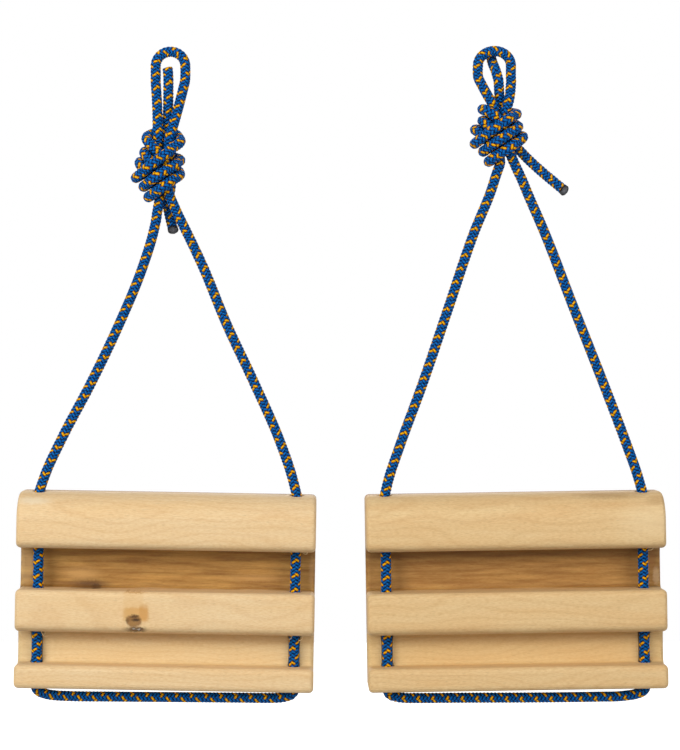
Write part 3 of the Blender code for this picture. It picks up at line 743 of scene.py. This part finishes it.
def cut_end(piece, place, along, slant, melted=True):
    """Cuts a tube's end at a plane through place, across slant. along points out of the cord there."""
    place, along, slant = Vector(place), Vector(along).normalized(), Vector(slant).normalized()
    body = bmesh.new()
    body.from_mesh(piece.data)
    marks = body.verts.layers.float["melted"]
    for vert in body.verts:
        offset = vert.co - place
        out = offset - along * offset.dot(along)
        if out.length > CORD or abs(offset.dot(along)) > 2 * CORD:
            continue
        past = offset.dot(slant)
        if past > 0:
            vert.co -= along * past / along.dot(slant)
            past = 0.0
        if melted and past > -LIP_LENGTH and out.length > CORD / 4:
            rim = out.normalized() * CORD / 2 * LIP
            vert.co += (rim - out) * (1 + past / LIP_LENGTH)
            vert[marks] = min(1.0, max(0.0, 2 * (past + MELT_LENGTH) / MELT_LENGTH))
    bmesh.ops.remove_doubles(body, verts=body.verts, dist=WELD_REACH)
    faces = [face for face in body.faces if len(face.verts) > MOST_SIDES
             and (face.calc_center_median() - place).length < CORD / 2]
    for face in faces:
        hub = bmesh.ops.poke(body, faces=[face])["verts"][0]
        hub[marks] = 2.0 if melted else 0.0
    bmesh.ops.recalc_face_normals(body, faces=body.faces)
    body.to_mesh(piece.data)
    body.free()
    print(piece.name, "cut faces:", len(faces))


# %% Routes over the hook and through the board
ARCH_POINTS = 60
STRETCH_GAP = 0.0003

# How deep in a hole a leg ends and the run begins
HOLE_SEAM = 0.012


def in_place(path, unit):
    """A path from the hook, as a path from the origin."""
    return np.asarray(path, float) + (unit["hook"][0], 0.0, unit["hook"][1])


def arch(unit):
    """The loop's bend over the hook, from its left side to its right side."""
    left, right = (side * CORD for side in unit["loop_sides"])
    foot = -SWING_DROP + CORD / 2 + STRETCH_GAP
    turns = np.linspace(math.pi, 0, ARCH_POINTS)
    middle, half = (left + right) / 2, (right - left) / 2
    rise = CORD / 2 - foot
    return np.stack([middle + half * np.cos(turns), 0 * turns, foot + rise * np.sin(turns)], axis=1)


def board_route(unit):
    """Down the left hole, across below the board and up the right hole."""
    run = unit["run"]
    sides = []
    for side, drop in ((-1, run[0][1]), (1, run[-1][1])):
        depths = (HOLE_SEAM, 3 * CORD, BOARD_HEIGHT - CORD, BOARD_HEIGHT)
        points = [on_board(unit, side * HOLE_REACH, depth) for depth in depths]
        points += [on_board(unit, side * (HOLE_REACH - part * drop), BOARD_HEIGHT + fall * drop)
                   for part, fall in RUN_CORNER]
        sides.append(points)
    below = [on_board(unit, (2 * part - 1) * HOLE_REACH, BOARD_HEIGHT + drop) for part, drop in run[1:-1]]
    return smooth(sides[0] + below + sides[1][::-1], RING_STEP)


def hand_over(piece, path, bodies, bend, stands_for):
    if len(bodies) == 2:
        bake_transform(piece, *bodies, start=tuple(bend[0]), end=tuple(bend[1]))
    else:
        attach(piece, *bodies)
    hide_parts(*stands_for)
    length = travelled(path)[-1]
    return length


# %% All stretches of both cords
# Where stretches meet in a knot, in cord diameters above its middle
KNOT_SEAM = 0.3

# Where a cord bends: from and to below the hook, and from above the mouth of a hole to inside it
HOOK_BEND_TOP = 0.003
HOOK_BEND_FOOT = 0.017
MOUTH_BEND_TOP = 0.008
MOUTH_BEND_FOOT = 0.006

# A leg's last points before its seam start this deep in its hole
HOLE_ENTRY = 0.004

# The plane of the upper tails' cuts, how far the lower tails' cuts lean to the front, and the rings added
# to a lower tail for its cut
UPPER_CUT = (-0.25, 0.1, 0.96)
LOWER_LEAN = np.array((0.0, -0.65, 0.0))
SPARE_RINGS = 7

for unit_name, unit in UNITS.items():
    strands = knot_strands(unit)
    seam = CORD * (unit["knot"][1] + KNOT_SEAM)
    cuts = [int(np.flatnonzero(strand[:, 2] < seam)[0]) for strand in strands]
    hook = Vector((unit["hook"][0], 0.0, unit["hook"][1]))
    under_hook = [hook - Vector((0.0, 0.0, depth)) for depth in (HOOK_BEND_TOP, HOOK_BEND_FOOT)]
    swing, board_body = unit_name + "_hanging_cord", unit_name + "_board"
    ticks, way = TICKS[unit_name], BRAID_WAYS[unit_name]
    total = 0.0

    # The loop: up from the knot on the right, over the hook, and down to the knot on the left
    up, down = strands[2][:cuts[2] + 1][::-1], strands[0][:cuts[0] + 1]
    path = smooth(in_place(np.vstack([up[:-1], arch(unit)[::-1], down[1:]]), unit), RING_STEP)
    piece = braided_tube(unit_name + "_loop_cord", path[::way], ticks["loop"])
    total += hand_over(piece, path, ("hooked_loops", swing), under_hook, [
        unit_name + node for node in ("_loop_top", "_loop_left_strand", "_loop_right_strand")])

    # The upper tail: down into the knot, in the right unit from its tip behind the loop
    tail = strands[1][:cuts[1] + 1]
    bodies, nodes = (swing,), [unit_name + "_upper_tail"]
    if unit["tail_tip"]:
        tip = smooth(placed(unit["tail_tip"] + unit["upper_tail"][:1]), KNOT_STEP * CORD)
        tail = np.vstack([tip[:-1], tail])
        bodies, nodes = ("hooked_loops", swing), nodes + [unit_name + "_tail_tip"]
    path = smooth(in_place(tail, unit), RING_STEP)
    piece = braided_tube(unit_name + "_upper_tail_cord", path[::way], ticks["upper_tail"])
    cut_end(piece, path[1], path[0] - path[2], UPPER_CUT, melted=False)
    total += hand_over(piece, path[::-1], bodies, under_hook, nodes)

    # The lower tail: from the loop's left side down through the knot, a little long for its slanted cut
    path = smooth(in_place(strands[0][cuts[0]:], unit), RING_STEP)
    along = path[-1] - path[-3]
    along /= np.linalg.norm(along)
    longer = np.vstack([path] + [path[-1] + along * RING_STEP * (i + 1) for i in range(SPARE_RINGS)])
    piece = braided_tube(unit_name + "_lower_tail_cord", longer[::way], ticks["lower_tail"])
    cut_end(piece, path[-1], along, along + LOWER_LEAN)
    total += hand_over(piece, path, (swing,), None, [
        unit_name + node for node in ("_knot_left_strand", "_lower_tail")])

    # Both legs: out of the knot and into the board's holes
    for side, label, number, strand in ((1, "right", 1, "middle"), (-1, "left", 2, "right")):
        into = [on_board(unit, side * HOLE_REACH, depth) for depth in (HOLE_ENTRY, HOLE_SEAM)]
        path = smooth(in_place(np.vstack([strands[number][cuts[number]:], into]), unit), RING_STEP)
        piece = braided_tube(f"{unit_name}_{label}_leg_cord", path[::side * way], ticks[label + "_leg"])
        mouth = Vector(in_place(on_board(unit, side * HOLE_REACH, 0.0), unit))
        at_mouth = [mouth + Vector((0.0, 0.0, height)) for height in (MOUTH_BEND_TOP, -MOUTH_BEND_FOOT)]
        total += hand_over(piece, path, (swing, board_body), at_mouth, [
            f"{unit_name}_knot_{strand}_strand", f"{unit_name}_{label}_leg"])

    # Through the board: down the right hole, across below it, and up the left hole
    path = in_place(board_route(unit), unit)[::-1]
    piece = braided_tube(unit_name + "_board_run_cord", path[::way], ticks["run"])
    total += hand_over(piece, path, (board_body,), None, [unit_name + "_board_cord"])
    print(f"{unit_name}: {total:.2f} m of cord")

# %% [markdown]
# ## The wood
# Each board is one piece of flat-sawn hardwood, planed, with rounded edges, sanded and thinly oiled. Its
# shape from the model is already right, so it only needs its wood. An image would stretch at the rounds,
# so the grain is worked out in three dimensions, as it grew: rings about a middle line behind the plank,
# fibres along it, and a darker core that only the deep groove cuts into. So it turns each corner as
# real wood does, and the board's ends show end grain.

# %% Wood that grew in rings
WOOD = {
    "left_unit": {"pale": "#edd1a3", "warm": "#eac894", "late": "#d4a76a", "core": "#c69a53",
                  "core_dark": "#946a33", "seed": 0.0},
    "right_unit": {"pale": "#e6c894", "warm": "#e2bd86", "late": "#cc9e5e", "core": "#c09351",
                   "core_dark": "#9a6e37", "seed": 4.3},
}
PORE = "#7d5431"
FIBRE_BUMP = 0.0001

# The middle of the tree, back and up from the board's front top edge, and the width of one ring
TREE_BACK = 0.085
TREE_UP = -0.058
RING_WIDTH = 0.0024

# The core wood starts this deep behind the front face, or up to its wander deeper, over a short change
CORE_DEPTH = 0.0255
CORE_WANDER = 0.006
CORE_CHANGE = 0.003

# Place and size of the knot in the left board's middle rail, across and up from between the hole mouths
KNOT_PLACE = (-0.0198, -0.0836)
KNOT_RADIUS = 0.0052

# The grain parts round the knot, which has_knot switches on or off
GRAIN_SUMS = (
    ("from_knot", "SUBTRACT", "across", KNOT_PLACE[0]),
    ("above_knot", "SUBTRACT", "up", KNOT_PLACE[1]),
    ("across_squared", "MULTIPLY", "from_knot", "from_knot"),
    ("knot_squared", "MULTIPLY_ADD", "above_knot", "above_knot", "across_squared"),
    ("least_squared", "MAXIMUM", "knot_squared", KNOT_RADIUS ** 2),
    ("parting", "DIVIDE", KNOT_RADIUS ** 2, "least_squared"),
    ("parting_here", "MULTIPLY", "parting", "has_knot"),
    ("parted", "MULTIPLY", "above_knot", "parting_here"),
    ("grain_up", "SUBTRACT", "up", "parted"),
)

# Rings wander by up to so many of their widths, and each darkens late, to a line as thin as its power says
WANDER = 9.0
LATE_WOOD_POWER = 4
RING_SUMS = (
    ("rise", "SUBTRACT", "grain_up", TREE_UP),
    ("deep", "SUBTRACT", "back", TREE_BACK),
    ("rise_squared", "MULTIPLY", "rise", "rise"),
    ("reach_squared", "MULTIPLY_ADD", "deep", "deep", "rise_squared"),
    ("reach", "SQRT", "reach_squared"),
    ("rings", "DIVIDE", "reach", RING_WIDTH),
    ("wavy_rings", "MULTIPLY_ADD", "wander", WANDER, "rings"),
    ("ring_turn", "MULTIPLY", "wavy_rings", 2 * math.pi),
    ("ring_bow", "SINE", "ring_turn"),
    ("ring_height", "MULTIPLY_ADD", "ring_bow", 0.5, 0.5),
    ("late_wood", "POWER", "ring_height", LATE_WOOD_POWER),
)

# Noises along the grain, with what they are multiplied by across, back and up, and their detail: the rings'
# wander, broad patches, streaks of 3 x 45 mm in the core, fibres of 0.7 x 3 mm, and pores of 0.4 x 4 mm
GRAIN_NOISES = (
    ("wander", (9.0, 18.0, 26.0), 1.0),
    ("patches", (14.0, 110.0, 130.0), 4.0),
    ("streaks", (22.0, 300.0, 300.0), 4.0),
    ("fibres", (320.0, 1500.0, 1500.0), 3.0),
    ("pores", (260.0, 2200.0, 2200.0), 0.0),
)

# The sander rolls the front face over a little before the lower edge of the two upper rails. Nothing keeps
# this to the front, so the same two soft creases wrongly show on the back too
ROLLED_EDGES = (-TOP_RAIL, -(TOP_RAIL + UPPER_GROOVE + MIDDLE_RAIL))
ROLL_REACH = 0.0080
ROLL_RADIUS = 0.015
ROLL_SUMS = (
    ("above", "SUBTRACT", "up", "edge"),
    ("apart", "ABSOLUTE", "above"),
    ("inside", "SUBTRACT", ROLL_REACH, "apart"),
    ("reached", "MAXIMUM", "inside", 0.0),
    ("squared", "POWER", "reached", 2.0),
    ("fall", "MULTIPLY_ADD", "squared", -0.5 / ROLL_RADIUS, "fall"),
)


def make_board_wood(name, middle, roll, plank, marks, has_knot):
    """Sanded and oiled hardwood: matt, with fine streaks, faint rings and a few dark pores."""
    made, tree, shader = new_material(name)

    # Places as the joiner counts them: across, back from the front face, and up
    place = add_node(tree, "ShaderNodeMapping", {
        "Vector": add_node(tree, "ShaderNodeTexCoord").outputs["Object"],
        "Location": middle, "Rotation": (0.0, roll, 0.0),
    }, vector_type="TEXTURE")
    parts = add_node(tree, "ShaderNodeSeparateXYZ", {0: place})
    back = add_node(tree, "ShaderNodeMath", {0: parts.outputs["Y"], 1: HOLE_SETBACK}, operation="ADD")
    known = add_sums(tree, GRAIN_SUMS, {
        "across": parts.outputs["X"], "up": parts.outputs["Z"], "back": back, "has_knot": has_knot})
    seeded = add_node(tree, "ShaderNodeMath", {0: known["across"], 1: plank["seed"]}, operation="ADD")
    grain = add_node(tree, "ShaderNodeCombineXYZ", {"X": seeded, "Y": back, "Z": known["grain_up"]})
    for key, density, detail in GRAIN_NOISES:
        stretched = add_node(tree, "ShaderNodeVectorMath", {0: grain, 1: density}, operation="MULTIPLY")
        known[key] = add_node(tree, "ShaderNodeTexNoise", {
            "Vector": stretched, "Scale": 1.0, "Detail": detail, "Roughness": 0.55})
    known = add_sums(tree, RING_SUMS, known)

    # Pale wood, then each marking over it by its own strength
    outer, core = (
        add_node(tree, "ShaderNodeMix", {
            0: add_node(tree, "ShaderNodeMapRange", {"Value": known[key], "From Min": low, "From Max": high}),
            6: linear(plank[shade]), 7: linear(plank[other_shade]),
        }, data_type="RGBA")
        for key, low, high, shade, other_shade in (
            ("patches", 0.3, 0.7, "pale", "warm"), ("streaks", 0.34, 0.66, "core_dark", "core")))
    depth = add_node(tree, "ShaderNodeMath", {0: known["patches"], 1: CORE_WANDER, 2: back},
                     operation="MULTIPLY_ADD")
    change = add_node(tree, "ShaderNodeMapRange", {
        "Value": depth, "From Min": CORE_DEPTH, "From Max": CORE_DEPTH + CORE_CHANGE,
    }, interpolation_type="SMOOTHSTEP")
    colour = add_node(tree, "ShaderNodeMix", {0: change, 6: outer, 7: core}, data_type="RGBA")
    for key, low, high, strength, shade in (
        ("late_wood", 0.0, 1.0, 0.12, plank["late"]),
        ("fibres", 0.38, 0.68, 0.26, plank["late"]),
        ("pores", 0.68, 0.78, 0.15, PORE),
    ):
        part = add_node(tree, "ShaderNodeMapRange", {
            "Value": known[key], "From Min": low, "From Max": high, "To Max": strength})
        colour = add_node(tree, "ShaderNodeMix", {0: part, 6: colour, 7: linear(shade)}, data_type="RGBA",
                          blend_type="MULTIPLY")
    colour = add_marks(tree, known, marks, colour)
    tree.links.new(colour.outputs[2], shader.inputs["Base Color"])

    known["fall"] = 0.0
    for edge in ROLLED_EDGES:
        known = add_sums(tree, ROLL_SUMS, {**known, "edge": edge})
    rolled = add_node(tree, "ShaderNodeBump", {"Strength": 1.0, "Distance": 1.0, "Height": known["fall"]})
    bump = add_node(tree, "ShaderNodeBump", {
        "Strength": 0.25, "Distance": FIBRE_BUMP, "Height": known["fibres"], "Normal": rolled})
    tree.links.new(bump.outputs[0], shader.inputs["Normal"])
    shader.inputs["Roughness"].default_value = 0.6
    shader.inputs["IOR"].default_value = 1.5
    shader.inputs["Specular IOR Level"].default_value = 0.3
    return made


# %% [markdown]
# ## Marks of growth and use, and painted light and shade
# A branch ended in the left board's middle rail. The eye is dark and ringed, resin has stained the wood
# above it amber, and at its foot a chip has broken out. Its hollow is dark brown, partly torn wood and partly
# painted shade, and two pale grey spots on it are a painted highlight. The grain parts round the knot, as
# water does round a post, which the grain's sums above already give. Each board also has smaller marks: paler
# and darker patches near the top corners, patches where the upper grooves run out, of which the pale one at
# the left board's open left end is painted light, and a reddish stain at the right end of the right board's
# upper groove. Across every groove runs a dark line at its top, which is painted shade under the rail above,
# and across each lower groove a paler band, which is painted light. Each mark is an ellipse, or nearly a
# rectangle, whose edge is made ragged, because wood takes a stain unevenly.

# %% Marks on the boards
# How fine and how far a mark's edge is ragged, and how far behind the front face the groove marks start.
# They go on from there to the back, where they wrongly show as faint bands
RAGGED_GRAIN = 650.0
RAGGED = 0.0026
GROOVE_BACK = 0.015

# Middle across and up, half width and half height, softness of the edge, strength, colour, where, and
# whether the corners are filled
MARKS = {
    "left_unit": (
        ((-0.0208, -0.0715), (0.0070, 0.0085), 0.40, 0.25, "#dba964", "front", True),
        ((-0.0200, -0.0657), (0.0075, 0.0006), 0.60, 0.60, "#b98345", "front", False),
        ((-0.0192, -0.0802), (0.0086, 0.0048), 0.50, 0.70, "#d39d54", "front", True),
        ((-0.0138, -0.0791), (0.0034, 0.0062), 0.70, 0.55, "#cb9149", "front", True),
        ((-0.0203, -0.0845), (0.0055, 0.0043), 0.30, 0.88, "#845a2b", "front", False),
        ((-0.0208, -0.0864), (0.0034, 0.0018), 0.60, 0.60, "#a57a42", "front", False),
        ((-0.0201, -0.0814), (0.0032, 0.0010), 0.60, 0.80, "#4a3016", "front", False),
        ((-0.0190, -0.0837), (0.0028, 0.0013), 0.60, 0.90, "#33200e", "front", False),
        ((-0.0246, -0.0842), (0.0011, 0.0030), 0.70, 0.70, "#6b4a26", "front", False),
        # The chip's hollow below the knot: dark brown, partly torn wood and partly painted shade
        ((-0.0190, -0.0901), (0.0082, 0.0021), 0.60, 0.75, "#6c4822", "front", False),
        ((-0.0180, -0.0900), (0.0046, 0.0016), 0.50, 0.80, "#4e3218", "front", False),
        # Painted highlight: two pale grey spots of glint on the chip
        ((-0.0201, -0.0898), (0.0014, 0.0006), 0.60, 0.75, "#b5ac9e", "front", False),
        ((-0.0171, -0.0900), (0.0015, 0.0007), 0.60, 0.80, "#c4bcb0", "front", False),
        ((-0.0524, -0.0632), (0.0135, 0.0040), 0.90, 0.80, "#5c3a1c", "groove", False),
        ((-0.0480, -0.0642), (0.0034, 0.0016), 0.60, 0.60, "#3c2410", "groove", False),
        # Painted light: the open left end of the upper groove made paler, as if lit from the left
        ((-0.0965, -0.0510), (0.0060, 0.0150), 0.50, 0.40, "#dcb680", "groove", False),
        ((0.0978, -0.0520), (0.0022, 0.0120), 0.50, 0.50, "#b98f60", "groove", False),
        ((-0.0590, -0.0560), (0.0130, 0.0050), 0.90, 0.45, "#dbab6a", "groove", False),
        ((0.0590, -0.0572), (0.0200, 0.0028), 0.90, 0.35, "#d9a868", "groove", False),
        # Painted light: a paler band across the lower part of the lower groove
        ((0.0000, -0.1050), (0.3000, 0.0130), 0.30, 0.24, "#dac88d", "groove", False),
        # Painted shade: a dark line under the top rail, along the top of the upper groove
        ((0.0000, -0.0410), (0.3000, 0.0055), 0.90, 0.25, "#50320f", "groove", False),
        # Painted shade: a dark line under the middle rail, along the top of the lower groove
        ((0.0000, -0.0972), (0.3000, 0.0045), 0.90, 0.35, "#9a6424", "groove", False),
        ((-0.0890, -0.0060), (0.0120, 0.0026), 0.80, 0.50, "#eee0c4", "front", False),
    ),
    "right_unit": (
        ((0.0900, -0.0190), (0.0240, 0.0120), 0.90, 0.40, "#f0d9ac", "front", False),
        ((0.0935, -0.0470), (0.0030, 0.0075), 0.30, 0.35, "#a0683a", "groove", True),
        ((0.0968, -0.0580), (0.0024, 0.0065), 0.50, 0.65, "#d8b384", "groove", False),
        # Painted light: a paler band across the lower part of the lower groove
        ((0.0000, -0.1050), (0.3000, 0.0130), 0.30, 0.24, "#dfc07a", "groove", False),
        # Painted shade: a dark line under the top rail, along the top of the upper groove
        ((0.0000, -0.0410), (0.3000, 0.0055), 0.90, 0.50, "#50320f", "groove", False),
        # Painted shade: a dark line under the middle rail, along the top of the lower groove
        ((0.0000, -0.0972), (0.3000, 0.0045), 0.90, 0.30, "#9a6424", "groove", False),
        ((0.0620, -0.0020), (0.0220, 0.0026), 0.80, 0.45, "#9c7442", "front", False),
        ((0.0940, -0.0060), (0.0080, 0.0030), 0.80, 0.35, "#a97f50", "front", False),
    ),
}


def add_marks(tree, known, marks, colour):
    """Lays each mark over the wood's colour, with a ragged edge that follows a fine noise."""
    flat = add_node(tree, "ShaderNodeCombineXYZ", {"X": known["across"], "Y": known["up"]})
    shake = add_node(tree, "ShaderNodeTexNoise", {"Vector": flat, "Scale": RAGGED_GRAIN, "Detail": 3.0})
    shake = add_node(tree, "ShaderNodeVectorMath", {0: shake.outputs["Color"], 1: (0.5, 0.5, 0.5)},
                     operation="SUBTRACT")
    shake = add_node(tree, "ShaderNodeVectorMath", {0: shake, 1: (RAGGED, RAGGED, 0.0)}, operation="MULTIPLY")
    ragged = add_node(tree, "ShaderNodeVectorMath", {0: flat, 1: shake}, operation="ADD")
    side = add_sums(tree, (
        ("groove", "GREATER_THAN", "back", GROOVE_BACK), ("front", "LESS_THAN", "back", GROOVE_BACK)), known)
    for middle, half, softness, strength, shade, where, cornered in marks:
        place = add_node(tree, "ShaderNodeVectorMath", {0: ragged, 1: (*middle, 0.0)}, operation="SUBTRACT")
        place = add_node(tree, "ShaderNodeVectorMath", {0: place, 1: (*half, 1.0)}, operation="DIVIDE")
        if cornered:
            place = add_node(tree, "ShaderNodeVectorMath", {0: place, 1: place}, operation="MULTIPLY")
        distance = add_node(tree, "ShaderNodeVectorMath", {0: place}, operation="LENGTH")
        part = add_node(tree, "ShaderNodeMapRange", {
            "Value": distance, "From Min": 1 - softness, "From Max": 1 + softness / 2,
            "To Min": strength, "To Max": 0.0,
        }, interpolation_type="SMOOTHSTEP")
        part = add_node(tree, "ShaderNodeMath", {0: part, 1: side[where]}, operation="MULTIPLY")
        colour = add_node(tree, "ShaderNodeMix", {0: part, 6: colour, 7: linear(shade)}, data_type="RGBA")
    return colour


# %% Wood for both boards
for unit_name, unit in UNITS.items():
    middle = tuple(in_place(on_board(unit, 0.0, 0.0), unit))
    has_knot = 1.0 if unit_name == "left_unit" else 0.0
    wood = make_board_wood(unit_name + "_oiled_hardwood", middle, math.radians(unit["roll"]), WOOD[unit_name],
                           MARKS[unit_name], has_knot)
    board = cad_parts[unit_name + "_board"]
    board.data.materials.clear()
    board.data.materials.append(wood)
    print(wood.name, len(wood.node_tree.nodes), "nodes")

# %% [markdown]
# ## Splinters at the holes
# The drill tore the wood where it broke out into the grooves, and nobody cleaned the holes' far edges. A
# few pale splinters still hang there. Each is a thin tapering sliver, swept along three or four points.

# %% Splinters, as points from the root to the tip, in metres from the origin
SPLINTERS = {
    "left_unit": (
        ((-0.0873, -0.0042, -0.3852), (-0.0864, -0.0046, -0.3877), (-0.0846, -0.0052, -0.3901),
         (-0.0820, -0.0050, -0.3895)),
        ((-0.0841, -0.0040, -0.3852), (-0.0843, -0.0046, -0.3875), (-0.0847, -0.0048, -0.3893)),
        ((0.0815, -0.0042, -0.3882), (0.0810, -0.0048, -0.3913), (0.0789, -0.0050, -0.3923)),
        ((0.0890, -0.0040, -0.3884), (0.0884, -0.0048, -0.3916), (0.0854, -0.0050, -0.3935)),
        ((0.0926, -0.0044, -0.3324), (0.0912, -0.0050, -0.3347), (0.0888, -0.0050, -0.3342)),
    ),
    "right_unit": (
        ((0.3248, -0.0044, -0.3296), (0.3234, -0.0050, -0.3316), (0.3204, -0.0050, -0.3323)),
    ),
}
SPLINTER_RADIUS = 0.00042
SPLINTER_STEP = 0.0003
SPLINTER_SIDES = 6
TORN_WOOD = "#e2c898"

# A sliver's thickness as a part of its width, and how soon it tapers, where lower is later
FLATNESS = 0.5
TAPER = 0.7

torn_wood, _, shader = new_material("torn_wood")
shader.inputs["Base Color"].default_value = linear(TORN_WOOD)
shader.inputs["Roughness"].default_value = 0.8

for unit_name, splinters in SPLINTERS.items():
    corners, faces = [], []
    for points in splinters:
        path = smooth(points, SPLINTER_STEP)
        fronts = carried_fronts(path)
        sides = np.cross(np.gradient(path, axis=0), fronts)
        sides /= np.linalg.norm(sides, axis=1)[:, None]
        first = len(corners)
        for i, (middle, front, side) in enumerate(zip(path, fronts, sides)):
            radius = SPLINTER_RADIUS * (1.1 - i / len(path)) ** TAPER
            for turn in np.arange(SPLINTER_SIDES) * 2 * math.pi / SPLINTER_SIDES:
                corners.append(middle + radius * (FLATNESS * math.cos(turn) * front + math.sin(turn) * side))
        rings = [list(range(first + i * SPLINTER_SIDES, first + (i + 1) * SPLINTER_SIDES))
                 for i in range(len(path))]
        faces += [rings[0][::-1], rings[-1]]
        for ring, after in zip(rings, rings[1:]):
            faces += [(ring[k - 1], ring[k], after[k], after[k - 1]) for k in range(SPLINTER_SIDES)]
    mesh = bpy.data.meshes.new(unit_name + "_splinters")
    mesh.from_pydata([tuple(corner) for corner in corners], [], faces)
    body = bmesh.new()
    body.from_mesh(mesh)
    bmesh.ops.recalc_face_normals(body, faces=body.faces)
    body.to_mesh(mesh)
    body.free()
    mesh.shade_smooth()
    mesh.materials.append(torn_wood)
    piece = add_object(unit_name + "_splinters", mesh)
    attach(piece, unit_name + "_board")
    print(piece.name, len(splinters))

# %% [markdown]
# ## Light and background
# The photograph is cut out on white. The shadows beside the cords tell where the light came from: most of
# it from a large soft box on the left, less from one on the right, and some from the front and above. One
# more stands behind, for the boards' backs. The backdrop and the floor show white to the camera, but they
# light the object only faintly, so the grooves stay as deep in shade as they are in the photograph.

# %% Studio
WHITE = (1.0, 1.0, 1.0, 1.0)
WORLD_LIGHT = 0.09


def clear_tree(owner):
    """The emptied node tree of a world or a material, and what is 1 where the camera or a gloss sees it."""
    owner.use_nodes = True
    tree = owner.node_tree
    tree.nodes.clear()
    rays = add_node(tree, "ShaderNodeLightPath").outputs
    return tree, rays, add_node(tree, "ShaderNodeMath", {0: rays["Is Camera Ray"], 1: rays["Is Glossy Ray"]},
                                operation="MAXIMUM")


world_data = bpy.data.worlds.new("studio")
bpy.context.scene.world = world_data
tree, rays, shown = clear_tree(world_data)
shown = add_node(tree, "ShaderNodeMath", {0: shown, 1: rays["Is Transmission Ray"]}, operation="MAXIMUM")
lighting = add_node(tree, "ShaderNodeBackground", {"Color": WHITE, "Strength": WORLD_LIGHT})
white = add_node(tree, "ShaderNodeBackground", {"Color": WHITE, "Strength": 1.0})
both = add_node(tree, "ShaderNodeMixShader", {0: shown, 1: lighting, 2: white})
add_node(tree, "ShaderNodeOutputWorld", {"Surface": both})

# %% Floor
FLOOR_DROP = 0.16
FLOOR_REACH = 1.6

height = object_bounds()[0].z - FLOOR_DROP
floor_mesh = bpy.data.meshes.new("floor")
floor_mesh.from_pydata([(x * FLOOR_REACH, y * FLOOR_REACH, height) for x, y in
                        ((-1, -1), (1, -1), (1, 1), (-1, 1))], [], [(0, 1, 2, 3)])
floor = add_object("floor", floor_mesh)
pale = bpy.data.materials.new("matt_white_paper")
tree, _, shown = clear_tree(pale)
paper = add_node(tree, "ShaderNodeBsdfDiffuse", {"Color": (0.5, 0.5, 0.5, 1.0)})
glow = add_node(tree, "ShaderNodeEmission", {"Strength": 1.0})
bright = add_node(tree, "ShaderNodeAddShader", {0: paper, 1: glow})
both = add_node(tree, "ShaderNodeMixShader", {0: shown, 1: paper, 2: bright})
add_node(tree, "ShaderNodeOutputMaterial", {"Surface": both})
floor_mesh.materials.append(pale)

# %% Lamps, with their place, size in metres and power in watts
LIT = Vector((0.1, 0.0, -0.25))

for name, place, size, power in (
    ("left_softbox", (-1.20, -1.25, 0.25), 0.9, 19.5),
    ("front_softbox", (0.1, -1.95, 0.45), 1.0, 9.5),
    ("right_softbox", (1.45, -1.30, 0.20), 0.9, 10.5),
    ("top_softbox", (0.1, -0.90, 1.30), 0.8, 4.5),
    ("back_softbox", (0.1, 1.90, 0.60), 1.2, 12.0),
):
    lamp = bpy.data.lights.new(name, "AREA")
    lamp.size = size
    lamp.energy = power
    box = add_object(name, lamp)
    box.location = place
    box.rotation_euler = (LIT - Vector(place)).to_track_quat("-Z", "Y").to_euler()

bpy.context.scene.view_settings.view_transform = "Standard"
